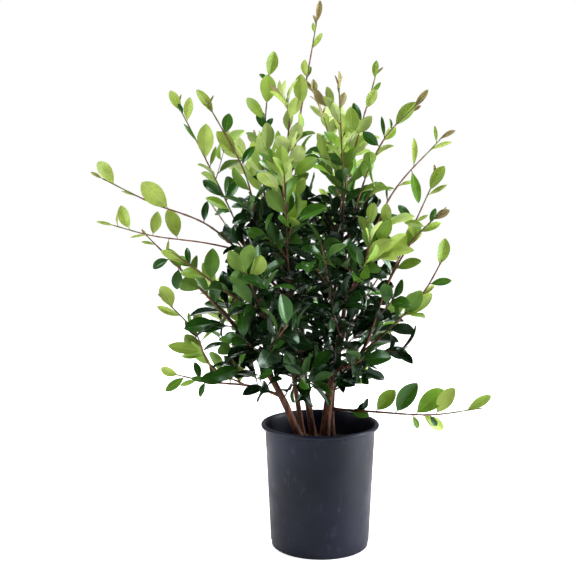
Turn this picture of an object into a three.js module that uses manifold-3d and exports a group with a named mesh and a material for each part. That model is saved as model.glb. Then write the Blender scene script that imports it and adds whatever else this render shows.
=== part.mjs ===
// A camellia shrub in its round black nursery pot.
// Millimetres, +Z up. The origin is the middle of the pot's flat underside, and the shrub's
// broadest side faces -Y.
//
// Six stems stand in the potting mix. Each stem, and each bough that leaves one, is a bare tapering
// limb first and a mass of leaves beyond it, on one curve. A mass is twigs and leaves that grow by
// one seeded rule inside the space that lies nearer to its own curve than to any other mass's.

import * as THREE from "three";
import { mergeVertices } from "three/addons/utils/BufferGeometryUtils.js";
import Module from "manifold-3d";

const wasm = await Module();
wasm.setup();

// ---------------------------------------------------------------- driving dimensions

const CLEARANCE = 0.3; // between neighbouring solids
const GOLDEN_TURN = THREE.MathUtils.degToRad(137.5); // from one twig or leaf to the next
const UP = new THREE.Vector3(0, 0, 1);
const DICE = { multiplier: 16807, modulus: 2147483647, spread: 7919, offset: 104729 };

const POT = {
  height: 232,
  rimRadius: 110,
  beadRadius: 4.2, // of the rolled rim
  beadArc: { from: -70, to: 130, steps: 4 }, // degrees up from outward
  wallTopRadius: 102.6, // outside, just under the rim
  baseRadius: 91.5, // outside, just above the foot
  footHeight: 10,
  footInset: 1.2,
  wall: 2,
  floor: 3,
  sides: 34,
};

const MIX_LEVEL = 187; // top of the potting mix

const LIMB = {
  stemSides: 8,
  boughSides: 6,
  step: 48, // length of one straight piece
  flare: 0.5, // how much wider a stem is at its foot
  flareReach: 16, // how fast the flare dies away upward
  buried: 12, // grown below the mix's top, then cut flat
  cutter: 8, // width of the block that cuts a stem's foot, in radii of the stem
};

const TWIG = {
  sides: 3,
  first: 14, // from the mass's foot to its first side twig
  spacing: 46,
  last: 55, // no side twig this close to the tip
  stray: 0.3, // radians either way, added to the turn from one to the next
  vigour: [0.8, 1.2], // spread of the twigs' lengths
  topShare: 0.5, // length of a twig at the mass's tip to one at its foot
  opening: THREE.MathUtils.degToRad(48), // between a twig and what carries it
  lift: 0.3, // pull towards the light
  arch: 0.12, // rise of the twig's tip, as a share of its length
  shortest: 30,
  cut: 12, // taken off a twig at a time until it fits
  tests: [0.35, 0.7, 1], // where along a twig its fit is tried
  stem: 2.2, // radius of a mass's own stem at its foot, and at its tip
  stemTip: 1.1,
  slimmer: 0.48, // a side twig's foot stays inside the three-sided stem
  tip: 0.6, // radius of a side twig's tip
  step: 60,
};

const LEAF = {
  seed: 1000, // of the leaves' draws, past those of the twigs
  spacing: 1.5, // times the shoot's own leaf spacing
  length: 58,
  sizes: [0.85, 1.15],
  width: 0.5, // of the length
  fold: 0.05, // height of the margins over the keel, as a share of the length
  near: { along: 0.34, half: 0.9, rise: 1 }, // the blade's wider pair of corners
  far: { along: 0.7, half: 0.85, rise: 0.8 },
  opening: THREE.MathUtils.degToRad(46),
  openings: [0.8, 1.2],
  lift: 0.25,
  stray: 1.2, // radians that its upper side may turn from straight before or behind
  skyward: 0.6,
  sunk: 0.4, // how far its foot lies beyond the middle of the twig
  bare: 16, // leafless foot of a twig
  inward: 1, // from a twig's end to its last leaf
  closed: 0.15, // opening of the leaf at a twig's tip
  youngest: 0.66, // size of that leaf
  retries: [0, 1.2, -1.2, 2.4], // turns tried, in radians, until the leaf has room
};

const SPACE = {
  margin: 1.6, // inside the border with the next mass
  limb: 1.2, // off any limb
  pot: 7, // off the pot's rim
  spineSamples: 10, // from one measured place on a mass's curve to the next
  limbSamples: 5,
  leastEdge: 0.05, // shorter edges are merged after joining
};

// The shoots. foot is where a stem leaves the mix; from and at say which limb carries a bough and
// how far along it. The curve passes by the places in via and ends at tip. bare is the length of
// the woody limb, and where it is 0 the leaves start at the carrier. thick is the radius at the
// foot and at the end of the bare part. side is the length of the side twigs, and leafGap the
// distance between leaves. tint is the age of its leaves.
const SHOOTS = {
  stem_left: {
    foot: [-24, -26],
    via: [[-70, -45, 287], [-105, -60, 350], [-170, -90, 445]],
    tip: [-300, -110, 582],
    bare: 310, thick: [8, 3.2], side: 60, leafGap: 18, tint: "mature",
  },
  stem_centre: {
    foot: [-8, 4],
    via: [[-32, -20, 334], [-52, -35, 460], [-60, 0, 645]],
    tip: [-8, 0, 965],
    bare: 470, thick: [7, 2.6], side: 50, leafGap: 26, tint: "fresh",
  },
  stem_right: {
    foot: [8, -22],
    via: [[22, -5, 318], [45, 0, 460], [43, 20, 650]],
    tip: [102, 45, 873],
    bare: 420, thick: [6.5, 2.4], side: 70, leafGap: 23, tint: "fresh",
  },
  stem_far_right: {
    foot: [24, 12],
    via: [[26, 32, 290], [60, 45, 450], [126, 45, 640]],
    tip: [230, 70, 761],
    bare: 400, thick: [5.6, 2.2], side: 75, leafGap: 23, tint: "fresh",
  },
  stem_back_left: {
    foot: [-28, 34],
    via: [[-60, 55, 380], [-105, 70, 660]],
    tip: [-96, 95, 889],
    bare: 400, thick: [5.6, 2.2], side: 65, leafGap: 23, tint: "fresh",
  },
  stem_back: {
    foot: [4, 40],
    via: [[25, 68, 380], [31, 85, 690]],
    tip: [-13, 115, 871],
    bare: 400, thick: [5.2, 2.1], side: 65, leafGap: 22, tint: "fresh",
  },
  low_left: {
    from: "stem_left", at: 127,
    via: [[-128, -58, 312], [-200, -52, 318]],
    tip: [-265, -42, 330],
    bare: 90, thick: [3.2, 2], side: 45, leafGap: 15, tint: "fresh",
  },
  low_left_fork: {
    from: "low_left", at: 70,
    via: [[-198, -70, 350], [-224, -80, 413]],
    tip: [-275, -88, 470],
    bare: 0, thick: [2, 2], side: 50, leafGap: 20, tint: "mature",
  },
  left_arch: {
    from: "stem_centre", at: 217,
    via: [[-103, -90, 441], [-170, -130, 493]],
    tip: [-250, -148, 555],
    bare: 110, thick: [2.8, 1.9], side: 70, leafGap: 18, tint: "mature",
  },
  high_left: {
    from: "stem_centre", at: 292,
    via: [[-110, -58, 520], [-200, -62, 600], [-300, -60, 640]],
    tip: [-385, -60, 682],
    bare: 190, thick: [3.4, 1.8], side: 35, leafGap: 25, tint: "fresh",
  },
  long_left: {
    from: "high_left", at: 140,
    via: [[-215, -20, 568], [-310, 20, 578]],
    tip: [-390, 36, 598],
    bare: 60, thick: [1.9, 1.6], side: 35, leafGap: 22, tint: "fresh",
  },
  upper_left: {
    from: "high_left", at: 100,
    via: [[-171, 20, 636], [-225, 50, 743]],
    tip: [-269, 75, 826],
    bare: 90, thick: [2.1, 1.6], side: 70, leafGap: 24, tint: "fresh",
  },
  upper_left_inner: {
    from: "stem_centre", at: 322,
    via: [[-107, -35, 590], [-138, -70, 699]],
    tip: [-200, -95, 815],
    bare: 110, thick: [2.4, 1.7], side: 75, leafGap: 22, tint: "fresh",
  },
  upper_front: {
    from: "stem_centre", at: 392,
    via: [[-68, -90, 650]],
    tip: [-52, -135, 834],
    bare: 0, thick: [1.8, 1.8], side: 60, leafGap: 22, tint: "fresh",
  },
  upper_right_inner: {
    from: "stem_right", at: 387,
    via: [[36, -75, 680]],
    tip: [27, -100, 839],
    bare: 0, thick: [1.8, 1.8], side: 60, leafGap: 22, tint: "fresh",
  },
  upper_right: {
    from: "stem_right", at: 357,
    via: [[64, -75, 650], [104, -100, 748]],
    tip: [165, -115, 813],
    bare: 60, thick: [2.2, 1.7], side: 75, leafGap: 22, tint: "fresh",
  },
  right: {
    from: "stem_right", at: 152,
    via: [[76, -15, 368], [123, -10, 493]],
    tip: [210, 10, 685],
    bare: 240, thick: [3.4, 1.9], side: 60, leafGap: 20, tint: "fresh",
  },
  right_fork: {
    from: "right", at: 205,
    via: [[160, -50, 570]],
    tip: [215, -60, 628],
    bare: 0, thick: [1.7, 1.7], side: 45, leafGap: 20, tint: "fresh",
  },
  right_reach: {
    from: "right", at: 65,
    via: [[114, -58, 408], [174, -85, 478]],
    tip: [214, -90, 550],
    bare: 70, thick: [2.4, 1.8], side: 70, leafGap: 20, tint: "mature",
  },
  low_right: {
    from: "stem_far_right", at: 77,
    via: [[94, -10, 254], [200, -28, 252]],
    tip: [290, -30, 264],
    bare: 125, thick: [2.8, 1.8], side: 50, leafGap: 16, tint: "fresh",
  },
  front_left: {
    from: "stem_centre", at: 272,
    via: [[-60, -110, 540]],
    tip: [-66, -165, 695],
    bare: 0, thick: [2, 2], side: 80, leafGap: 20, tint: "mature",
  },
  front_right: {
    from: "stem_right", at: 297,
    via: [[70, -95, 520]],
    tip: [82, -190, 626],
    bare: 0, thick: [2, 2], side: 80, leafGap: 20, tint: "mature",
  },
  front_low_left: {
    from: "left_arch", at: 60,
    via: [[-100, -120, 450]],
    tip: [-128, -210, 530],
    bare: 0, thick: [1.8, 1.8], side: 70, leafGap: 18, tint: "old",
  },
  front: {
    from: "stem_right", at: 222,
    via: [[20, -90, 450]],
    tip: [-5, -195, 575],
    bare: 0, thick: [2, 2], side: 80, leafGap: 18, tint: "old",
  },
  front_low: {
    from: "stem_left", at: 187,
    via: [[-95, -120, 385]],
    tip: [-60, -220, 445],
    bare: 0, thick: [2, 2], side: 75, leafGap: 18, tint: "old",
  },
  front_far_right: {
    from: "right", at: 135,
    via: [[125, -90, 475]],
    tip: [130, -180, 550],
    bare: 0, thick: [1.8, 1.8], side: 75, leafGap: 18, tint: "old",
  },
  front_low_right: {
    from: "stem_right", at: 132,
    via: [[50, -80, 350]],
    tip: [95, -180, 400],
    bare: 0, thick: [2, 2], side: 75, leafGap: 18, tint: "old",
  },
  centre_low: {
    from: "stem_centre", at: 127,
    via: [[-38, -75, 325]],
    tip: [-35, -150, 350],
    bare: 0, thick: [1.8, 1.8], side: 60, leafGap: 17, tint: "old",
  },
  right_low: {
    from: "stem_far_right", at: 112,
    via: [[90, 5, 320]],
    tip: [140, -40, 350],
    bare: 0, thick: [1.8, 1.8], side: 60, leafGap: 17, tint: "old",
  },
  back_left: {
    from: "stem_back_left", at: 262,
    via: [[-130, 120, 520]],
    tip: [-221, 215, 640],
    bare: 80, thick: [2.6, 1.7], side: 80, leafGap: 20, tint: "mature",
  },
  back_upper_left: {
    from: "stem_back_left", at: 367,
    via: [[-110, 130, 650]],
    tip: [-131, 205, 786],
    bare: 0, thick: [1.9, 1.9], side: 75, leafGap: 22, tint: "fresh",
  },
  back: {
    from: "stem_back", at: 247,
    via: [[25, 145, 520]],
    tip: [20, 245, 640],
    bare: 80, thick: [2.6, 1.7], side: 80, leafGap: 20, tint: "mature",
  },
  back_upper: {
    from: "stem_back", at: 367,
    via: [[46, 130, 670]],
    tip: [61, 200, 801],
    bare: 0, thick: [1.9, 1.9], side: 75, leafGap: 22, tint: "fresh",
  },
  back_right: {
    from: "stem_far_right", at: 227,
    via: [[115, 110, 490]],
    tip: [205, 190, 610],
    bare: 80, thick: [2.6, 1.7], side: 80, leafGap: 20, tint: "mature",
  },
  back_low_right: {
    from: "stem_far_right", at: 137,
    via: [[100, 100, 360]],
    tip: [182, 182, 432],
    bare: 0, thick: [2, 2], side: 75, leafGap: 18, tint: "old",
  },
  back_low_left: {
    from: "stem_back_left", at: 157,
    via: [[-120, 110, 380]],
    tip: [-208, 175, 462],
    bare: 0, thick: [2, 2], side: 75, leafGap: 18, tint: "old",
  },
  back_low: {
    from: "stem_back", at: 157,
    via: [[-5, 130, 380]],
    tip: [-25, 240, 462],
    bare: 0, thick: [2, 2], side: 75, leafGap: 18, tint: "old",
  },
};

// ---------------------------------------------------------------- materials

function finish(color, roughness) {
  return new THREE.MeshStandardMaterial({ color, roughness, metalness: 0 });
}

const MATERIALS = {
  pot: finish(0x2a2d33, 0.5),
  mix: finish(0x2b1d14, 0.95),
  bark: finish(0x5f3a25, 0.8),
  fresh: finish(0x7fae45, 0.5),
  mature: finish(0x47752c, 0.4),
  old: finish(0x1f4420, 0.3),
};

// ---------------------------------------------------------------- solids

// A closed geometry as a solid that can be joined and cut.
function solidOf(geometry) {
  const bare = geometry.clone();
  bare.deleteAttribute("normal");
  bare.deleteAttribute("uv");
  const merged = mergeVertices(bare, 1e-4);
  const mesh = new wasm.Mesh({
    numProp: 3,
    vertProperties: merged.attributes.position.array,
    triVerts: new Uint32Array(merged.index.array),
  });
  return new wasm.Manifold(mesh);
}

function geometryOf(solid) {
  const { vertProperties, triVerts } = solid.getMesh();
  return new THREE.BufferGeometry()
    .setAttribute("position", new THREE.BufferAttribute(vertProperties, 3))
    .setIndex(new THREE.BufferAttribute(triVerts, 1));
}

// The largest piece of a solid, with its sealed hollows filled and loose scraps dropped.
function largestPiece(solid) {
  const pieces = solid.decompose();
  return pieces.reduce((best, piece) => (piece.volume() > best.volume() ? piece : best));
}

function meshOf(name, geometry, material) {
  geometry.computeVertexNormals();
  const mesh = new THREE.Mesh(geometry, material);
  mesh.name = name;
  return mesh;
}

// ---------------------------------------------------------------- pot and mix

const UNDER_RIM = POT.height - 2 * POT.beadRadius;

// Radius of the pot's outside at a height between its foot and its rim.
function wallRadius(height) {
  return THREE.MathUtils.lerp(POT.baseRadius, POT.wallTopRadius, height / UNDER_RIM);
}

// Radius of the pot's inside, which clears the set-in foot as well.
function innerRadius(height) {
  const bottom = wallRadius(POT.floor) - POT.wall - POT.footInset;
  const top = wallRadius(UNDER_RIM) - POT.wall;
  return THREE.MathUtils.mapLinear(height, POT.floor, UNDER_RIM, bottom, top);
}

function turned(profile) {
  const points = profile.map(([radius, height]) => new THREE.Vector2(radius, height));
  return new THREE.LatheGeometry(points, POT.sides).rotateX(Math.PI / 2);
}

// The rolled rim's section, from under its outside over its top to its inside.
function beadProfile() {
  const { from, to, steps } = POT.beadArc;
  return Array.from({ length: steps + 1 }, (_, i) => {
    const angle = THREE.MathUtils.degToRad(THREE.MathUtils.lerp(from, to, i / steps));
    return [
      POT.rimRadius + POT.beadRadius * (Math.cos(angle) - 1),
      POT.height + POT.beadRadius * (Math.sin(angle) - 1),
    ];
  });
}

function potMesh() {
  const footRadius = wallRadius(0) - POT.footInset;
  const profile = [
    [0, 0],
    [footRadius, 0],
    [footRadius, POT.footHeight],
    [wallRadius(POT.footHeight), POT.footHeight + POT.footInset],
    [wallRadius(UNDER_RIM), UNDER_RIM],
    ...beadProfile(),
    [innerRadius(UNDER_RIM), UNDER_RIM],
    [innerRadius(POT.floor), POT.floor],
    [0, POT.floor],
  ];
  return meshOf("pot", turned(profile), MATERIALS.pot);
}

function mixMesh() {
  const bottom = POT.floor + CLEARANCE;
  const profile = [
    [0, bottom],
    [innerRadius(bottom) - CLEARANCE, bottom],
    [innerRadius(MIX_LEVEL) - CLEARANCE, MIX_LEVEL],
    [0, MIX_LEVEL],
  ];
  return meshOf("potting_mix", turned(profile), MATERIALS.mix);
}

// ---------------------------------------------------------------- curves

// A curve measured in millimetres from its start.
class Path {
  constructor(places) {
    this.curve = new THREE.CatmullRomCurve3(places, false, "catmullrom", 0.5);
    this.length = this.curve.getLength();
  }

  at(distance) {
    return this.curve.getPointAt(THREE.MathUtils.clamp(distance / this.length, 0, 1));
  }

  tangent(distance) {
    return this.curve.getTangentAt(THREE.MathUtils.clamp(distance / this.length, 0, 1));
  }
}

// A unit vector square to the given one.
function square(direction) {
  const helper = Math.abs(direction.z) < 0.8 ? UP : new THREE.Vector3(1, 0, 0);
  return new THREE.Vector3().crossVectors(direction, helper).normalize();
}

// The stretch of a path from start to end, in straight pieces about step long.
class Rod {
  constructor(path, start, end, step) {
    const count = Math.max(Math.round((end - start) / step), 1);
    Object.assign(this, { path, start, end, count });
    this.joints = Array.from({ length: count + 1 }, (_, i) => path.at(this.distance(i)));
  }

  distance(joint) {
    return THREE.MathUtils.lerp(this.start, this.end, joint / this.count);
  }

  at(distance) {
    const joint = THREE.MathUtils.mapLinear(distance, this.start, this.end, 0, this.count);
    const piece = THREE.MathUtils.clamp(Math.floor(joint), 0, this.count - 1);
    return this.joints[piece].clone().lerp(this.joints[piece + 1], joint - piece);
  }

  tangent(distance) {
    return this.path.tangent(distance);
  }

  // A round tube along the rod, whose radius radiusAt gives.
  solid(radiusAt, sides) {
    let side = square(this.tangent(this.start));
    const rings = this.joints.map((middle, i) => {
      const along = this.tangent(this.distance(i));
      side = side.clone().addScaledVector(along, -side.dot(along)).normalize();
      const cross = new THREE.Vector3().crossVectors(side, along);
      return { middle, radius: radiusAt(this.distance(i)), side, cross };
    });
    const geometry = new THREE.CylinderGeometry(1, 1, 1, sides, this.count);
    const position = geometry.attributes.position;
    for (let i = 0; i < position.count; i++) {
      const ring = rings[Math.round((position.getY(i) + 0.5) * this.count)];
      const place = ring.middle
        .clone()
        .addScaledVector(ring.side, position.getX(i) * ring.radius)
        .addScaledVector(ring.cross, position.getZ(i) * ring.radius);
      position.setXYZ(i, place.x, place.y, place.z);
    }
    return solidOf(geometry);
  }
}

// ---------------------------------------------------------------- limbs

function layOutShoots() {
  const shoots = new Map();
  for (const [name, plan] of Object.entries(SHOOTS)) {
    const carrier = shoots.get(plan.from);
    const start = carrier
      ? carrier.limb.at(plan.at)
      : new THREE.Vector3(...plan.foot, MIX_LEVEL - LIMB.buried);
    const places = [...plan.via, plan.tip].map((place) => new THREE.Vector3(...place));
    const path = new Path([start, ...places]);
    const limb = plan.bare ? new Rod(path, 0, plan.bare, LIMB.step) : null;
    shoots.set(name, { name, ...plan, carrier, path, limb, seed: shoots.size + 1 });
  }
  return shoots;
}

function limbRadius(shoot, distance) {
  const [foot, end] = shoot.thick;
  const radius = THREE.MathUtils.lerp(foot, end, Math.min(distance / shoot.bare, 1));
  const above = Math.max(distance - LIMB.buried, 0);
  return shoot.carrier ? radius : radius * (1 + LIMB.flare * Math.exp(-above / LIMB.flareReach));
}

// A shoot's bare limb, grown everywhere by extra.
function limbSolid(shoot, extra) {
  const sides = shoot.carrier ? LIMB.boughSides : LIMB.stemSides;
  return shoot.limb.solid((distance) => limbRadius(shoot, distance) + extra, sides);
}

// Cuts a stem flat at the mix, and a bough clear of the limb that carries it.
function seated(solid, shoot) {
  if (shoot.carrier) return solid.subtract(limbSolid(shoot.carrier, CLEARANCE));
  const size = LIMB.cutter * shoot.thick[0];
  const below = new THREE.BoxGeometry(size, size, size);
  below.translate(...shoot.foot, MIX_LEVEL + CLEARANCE - size / 2);
  return solid.subtract(solidOf(below));
}

function limbMesh(shoot) {
  const solid = largestPiece(seated(limbSolid(shoot, 0), shoot));
  const name = shoot.carrier ? "bough_" + shoot.name : shoot.name;
  return meshOf(name, geometryOf(solid), MATERIALS.bark);
}

// ---------------------------------------------------------------- spaces

function samples(rod, spacing) {
  const count = Math.ceil((rod.end - rod.start) / spacing);
  return Array.from({ length: count + 1 }, (_, i) => {
    const distance = THREE.MathUtils.lerp(rod.start, rod.end, i / count);
    return { point: rod.at(distance), distance };
  });
}

// What a point must keep clear of: the other masses' curves, all limbs and the pot.
class Surroundings {
  constructor(shoots) {
    this.spines = new Map();
    this.limbs = [];
    for (const shoot of shoots.values()) {
      const { name, path, bare, limb } = shoot;
      const spine = new Rod(path, bare, path.length, TWIG.step);
      this.spines.set(name, samples(spine, SPACE.spineSamples));
      if (!limb) continue;
      for (const { point, distance } of samples(limb, SPACE.limbSamples))
        this.limbs.push({ point, radius: limbRadius(shoot, distance) });
    }
  }

  nearest(name, place) {
    return Math.min(...this.spines.get(name).map(({ point }) => point.distanceTo(place)));
  }

  clear(name, place, offLimb) {
    const fromAxis = Math.hypot(place.x, place.y);
    if (place.z < POT.height + SPACE.pot && fromAxis < POT.rimRadius + SPACE.pot) return false;
    const near = ({ point, radius }) => point.distanceTo(place) < radius + offLimb;
    if (this.limbs.some(near)) return false;
    const own = this.nearest(name, place) + SPACE.margin;
    return [...this.spines.keys()].every(
      (other) => other === name || this.nearest(other, place) > own,
    );
  }
}

// ---------------------------------------------------------------- twigs and leaves

// Park and Miller's generator: the same draws between low and high in every run.
function dice(seed) {
  let state = seed * DICE.spread + DICE.offset;
  return (low, high) => {
    state = (state * DICE.multiplier) % DICE.modulus;
    return THREE.MathUtils.lerp(low, high, state / DICE.modulus);
  };
}

// A direction that opens from along by an angle, turned about it and pulled upward.
function branching(along, turn, opening, lift) {
  const side = square(along);
  const cross = new THREE.Vector3().crossVectors(along, side);
  return along
    .clone()
    .multiplyScalar(Math.cos(opening))
    .addScaledVector(side, Math.sin(opening) * Math.cos(turn))
    .addScaledVector(cross, Math.sin(opening) * Math.sin(turn))
    .addScaledVector(UP, lift)
    .normalize();
}

function sideTwig(foot, direction, length) {
  const places = [0, 0.5, 1].map((share) =>
    foot
      .clone()
      .addScaledVector(direction, length * share)
      .addScaledVector(UP, TWIG.arch * length * share * share),
  );
  const path = new Path(places);
  return new Rod(path, 0, path.length, TWIG.step);
}

// The twigs of one mass: its own stem, then the side twigs that fit its space.
function growTwigs(shoot, around) {
  const { name, path, bare, side } = shoot;
  const draw = dice(shoot.seed);
  const start = bare ? bare + CLEARANCE : 0;
  const thickness = (distance) =>
    THREE.MathUtils.mapLinear(distance, start, path.length, TWIG.stem, TWIG.stemTip);
  const stem = new Rod(path, start, path.length, TWIG.step);
  const twigs = [{ rod: stem, thickness }];
  let turn = draw(0, 2 * Math.PI);
  for (let at = start + TWIG.first; at < path.length - TWIG.last; at += TWIG.spacing) {
    turn += GOLDEN_TURN + draw(-TWIG.stray, TWIG.stray);
    const vigour = draw(...TWIG.vigour);
    const wanted = side * vigour * THREE.MathUtils.mapLinear(at, start, path.length, 1, TWIG.topShare);
    const direction = branching(stem.tangent(at), turn, TWIG.opening, TWIG.lift);
    for (let length = wanted; length >= TWIG.shortest; length -= TWIG.cut) {
      const rod = sideTwig(stem.at(at), direction, length);
      const fits = TWIG.tests.every((share) =>
        around.clear(name, rod.at(share * rod.end), TWIG.stemTip + SPACE.limb),
      );
      if (!fits) continue;
      const foot = thickness(at) * TWIG.slimmer;
      const taper = (distance) => THREE.MathUtils.mapLinear(distance, 0, rod.end, foot, TWIG.tip);
      twigs.push({ rod, thickness: taper });
      break;
    }
  }
  return twigs;
}

// Where a leaf's upper side turns: to the sky, and before or behind the shrub.
function lightOn(draw) {
  const azimuth = (draw(-1, 1) < 0 ? -1 : 1) * (Math.PI / 2) + draw(-LEAF.stray, LEAF.stray);
  return new THREE.Vector3(Math.cos(azimuth), Math.sin(azimuth), LEAF.skyward);
}

// The six corners of a leaf: foot, near pair, far pair and tip. The blade lies along direction
// with its upper side to the light.
function leafCorners(foot, direction, light, length) {
  const across = new THREE.Vector3().crossVectors(light, direction).normalize();
  const upper = new THREE.Vector3().crossVectors(direction, across);
  const corner = ({ along, half, rise }, side) =>
    foot
      .clone()
      .addScaledVector(direction, along * length)
      .addScaledVector(across, (side * half * LEAF.width * length) / 2)
      .addScaledVector(upper, rise * LEAF.fold * length);
  return [
    foot,
    corner(LEAF.near, 1),
    corner(LEAF.near, -1),
    corner(LEAF.far, 1),
    corner(LEAF.far, -1),
    foot.clone().addScaledVector(direction, length),
  ];
}

function leafSolid(corners) {
  const [foot, nearLeft, nearRight, farLeft, farRight, tip] = [0, 1, 2, 3, 4, 5];
  const faces = [
    [foot, nearRight, nearLeft],
    [nearLeft, nearRight, farRight],
    [nearLeft, farRight, farLeft],
    [farLeft, farRight, tip],
    [foot, tip, nearRight],
    [nearRight, tip, farRight],
    [foot, nearLeft, tip],
    [nearLeft, farLeft, tip],
  ];
  const geometry = new THREE.BufferGeometry().setFromPoints(corners).setIndex(faces.flat());
  return solidOf(geometry);
}

// One leaf at a place on a twig, as a solid, or nothing where it would leave the mass's space or
// touch any of the others.
function growLeaf(shoot, foot, direction, light, size, around, others) {
  const corners = leafCorners(foot, direction, light, size);
  if (!corners.slice(1).every((corner) => around.clear(shoot.name, corner, SPACE.limb))) return null;
  const leaf = leafSolid(corners);
  return others.some((other) => !leaf.intersect(other).isEmpty()) ? null : leaf;
}

// The leaves of one twig, alternate and turning round it, with one at its tip.
function growLeaves(shoot, rod, draw, around, others) {
  const leaves = [];
  const spacing = shoot.leafGap * LEAF.spacing;
  let turn = draw(0, 2 * Math.PI);
  for (let at = rod.start + LEAF.bare; at <= rod.end; at += spacing) {
    const last = at + spacing > rod.end;
    const place = last ? rod.end - LEAF.inward : at;
    const along = rod.tangent(place);
    const light = lightOn(draw);
    const size = LEAF.length * draw(...LEAF.sizes) * (last ? LEAF.youngest : 1);
    const opening = last ? LEAF.closed : LEAF.opening * draw(...LEAF.openings);
    turn += GOLDEN_TURN + draw(-TWIG.stray, TWIG.stray);
    for (const retry of LEAF.retries) {
      const direction = branching(along, turn + retry, opening, LEAF.lift);
      const foot = rod.at(place).addScaledVector(direction, -LEAF.sunk);
      const leaf = growLeaf(shoot, foot, direction, light, size, around, [...others, ...leaves]);
      if (!leaf) continue;
      leaves.push(leaf);
      break;
    }
  }
  return leaves;
}

// A mass of leaves as one solid, cut clear of its carrier where it has no bough.
function massMesh(shoot, around) {
  const draw = dice(LEAF.seed + shoot.seed);
  const twigs = growTwigs(shoot, around);
  const wood = twigs.map(({ rod, thickness }) => rod.solid(thickness, TWIG.sides));
  const leaves = [];
  twigs.forEach(({ rod }, i) => {
    const others = [...wood.filter((_, j) => j !== i), ...leaves];
    leaves.push(...growLeaves(shoot, rod, draw, around, others));
  });
  let joined = wasm.Manifold.union([...wood, ...leaves]);
  if (!shoot.bare) joined = joined.subtract(limbSolid(shoot.carrier, CLEARANCE));
  const solid = largestPiece(joined.simplify(SPACE.leastEdge));
  return meshOf("leaves_" + shoot.name, geometryOf(solid), MATERIALS[shoot.tint]);
}

// ---------------------------------------------------------------- the shrub in its pot

function shrubInPot() {
  const group = new THREE.Group();
  const shoots = layOutShoots();
  const around = new Surroundings(shoots);
  group.add(potMesh(), mixMesh());
  for (const shoot of shoots.values()) {
    if (shoot.bare) group.add(limbMesh(shoot));
    group.add(massMesh(shoot, around));
  }
  return group;
}

export default shrubInPot();
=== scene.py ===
"""The looks of a camellia shrub in its round black nursery pot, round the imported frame.

Metres, +Z up. The pot's underside lies on z = 0 and the shrub's broad side faces -Y. The stems
and boughs, and the seeded rule by which twigs and leaves grow on from them, are those of the CAD
source. Here the rule is carried to finer twigs, buds and every leaf.
"""

import math

import bpy
import numpy as np
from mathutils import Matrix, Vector, noise


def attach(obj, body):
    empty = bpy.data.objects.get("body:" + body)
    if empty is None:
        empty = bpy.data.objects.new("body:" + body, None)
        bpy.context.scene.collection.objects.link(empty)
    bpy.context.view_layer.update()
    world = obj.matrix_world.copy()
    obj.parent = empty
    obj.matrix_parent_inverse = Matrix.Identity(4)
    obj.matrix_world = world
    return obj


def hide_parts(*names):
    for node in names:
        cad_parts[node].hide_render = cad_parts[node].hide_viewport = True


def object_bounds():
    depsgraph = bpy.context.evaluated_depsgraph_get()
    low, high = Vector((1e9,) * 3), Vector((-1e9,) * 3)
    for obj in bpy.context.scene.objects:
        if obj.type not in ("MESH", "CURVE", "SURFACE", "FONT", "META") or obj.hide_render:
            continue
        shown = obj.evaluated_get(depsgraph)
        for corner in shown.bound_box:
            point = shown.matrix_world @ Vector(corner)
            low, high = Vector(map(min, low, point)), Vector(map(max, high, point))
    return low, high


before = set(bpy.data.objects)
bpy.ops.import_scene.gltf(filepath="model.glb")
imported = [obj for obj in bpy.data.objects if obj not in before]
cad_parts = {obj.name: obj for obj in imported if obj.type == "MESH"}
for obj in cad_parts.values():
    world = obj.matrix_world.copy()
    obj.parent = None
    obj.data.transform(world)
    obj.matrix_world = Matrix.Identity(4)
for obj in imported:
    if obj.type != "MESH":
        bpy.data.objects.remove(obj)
CAD_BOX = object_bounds()

# ------------------------------------------------------------------ sizes

MM = 0.001
UP = np.array([0.0, 0.0, 1.0])
GOLDEN_TURN = math.radians(137.5)  # from one twig or leaf to the next
CURVE_DIVISIONS = 200
TANGENT_STEP = 0.0001  # share of a curve between the places that give its direction
DICE = {"multiplier": 16807, "modulus": 2147483647, "spread": 7919, "offset": 104729}

POT = {
    "height": 0.232,
    "rim_radius": 0.110,
    "bead_radius": 0.0042,  # of the rolled rim
    "wall_top_radius": 0.1026,  # outside, just under the rim
    "base_radius": 0.0915,  # outside, just above the foot
    "foot_height": 0.010,
    "foot_inset": 0.0012,
    "foot_round": 0.0025,  # radius of the edge it stands on
    "step": 0.0006,  # half the height of the slope between foot and wall
    "wall": 0.0016,
    "floor": 0.003,
    "sides": 160,
    "warp": 0.0004,  # how far the thin wall strays from round
    "warp_scale": (9, 9, 4),
    "foot_arc": (-90, -60, -30, 0),  # degrees up from outward, as for the rim's bead
    "foot_flat": 3,  # the underside is flat up to this many of its edge's radii from the edge
    "bead_arc": (-75, 150, 14),  # from, to and number of steps
    "wall_rings": 26,
    "wall_clear": (0.002, 0.0015),  # the rings' distance from the foot and from the rim
    "inside_rings": 20,
}
MIX_LEVEL = 0.187
MIX = {
    "rings": 26,
    "sides": 96,
    "slack": 0.5,  # between it and the pot's inside, as a share of the foot's inset
    "innermost": 0.03,  # ring, as a share of the radius
    "relief": 0.004,
    "sunk": 0.3,  # below its level on the whole, as a share of the relief
    "bumps": ((30, 3.7, 0.6), (110, 8.1, 0.4)),  # noises: scale, layer and share of the relief
    "depth": 0.012,
    "chips": 620,
    "chip_seed": 77,
    "chip_sides": 6,
    "chip_length": (0.006, 0.019),
    "chip_width": (0.3, 0.6),  # as a share of the length, and so the height
    "chip_height": (0.1, 0.2),
    "chip_tilt": (-0.35, 0.35),
    "chip_corner": (-0.25, 0.25),  # radians by which a corner strays
    "chip_reach": (0.75, 1.0),  # of a corner
    "chip_top": 0.86,  # its top to its underside
    "chip_inset": 0.6,  # of its length, from the mix's edge
    "chip_rise": 0.0008,
}

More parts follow.
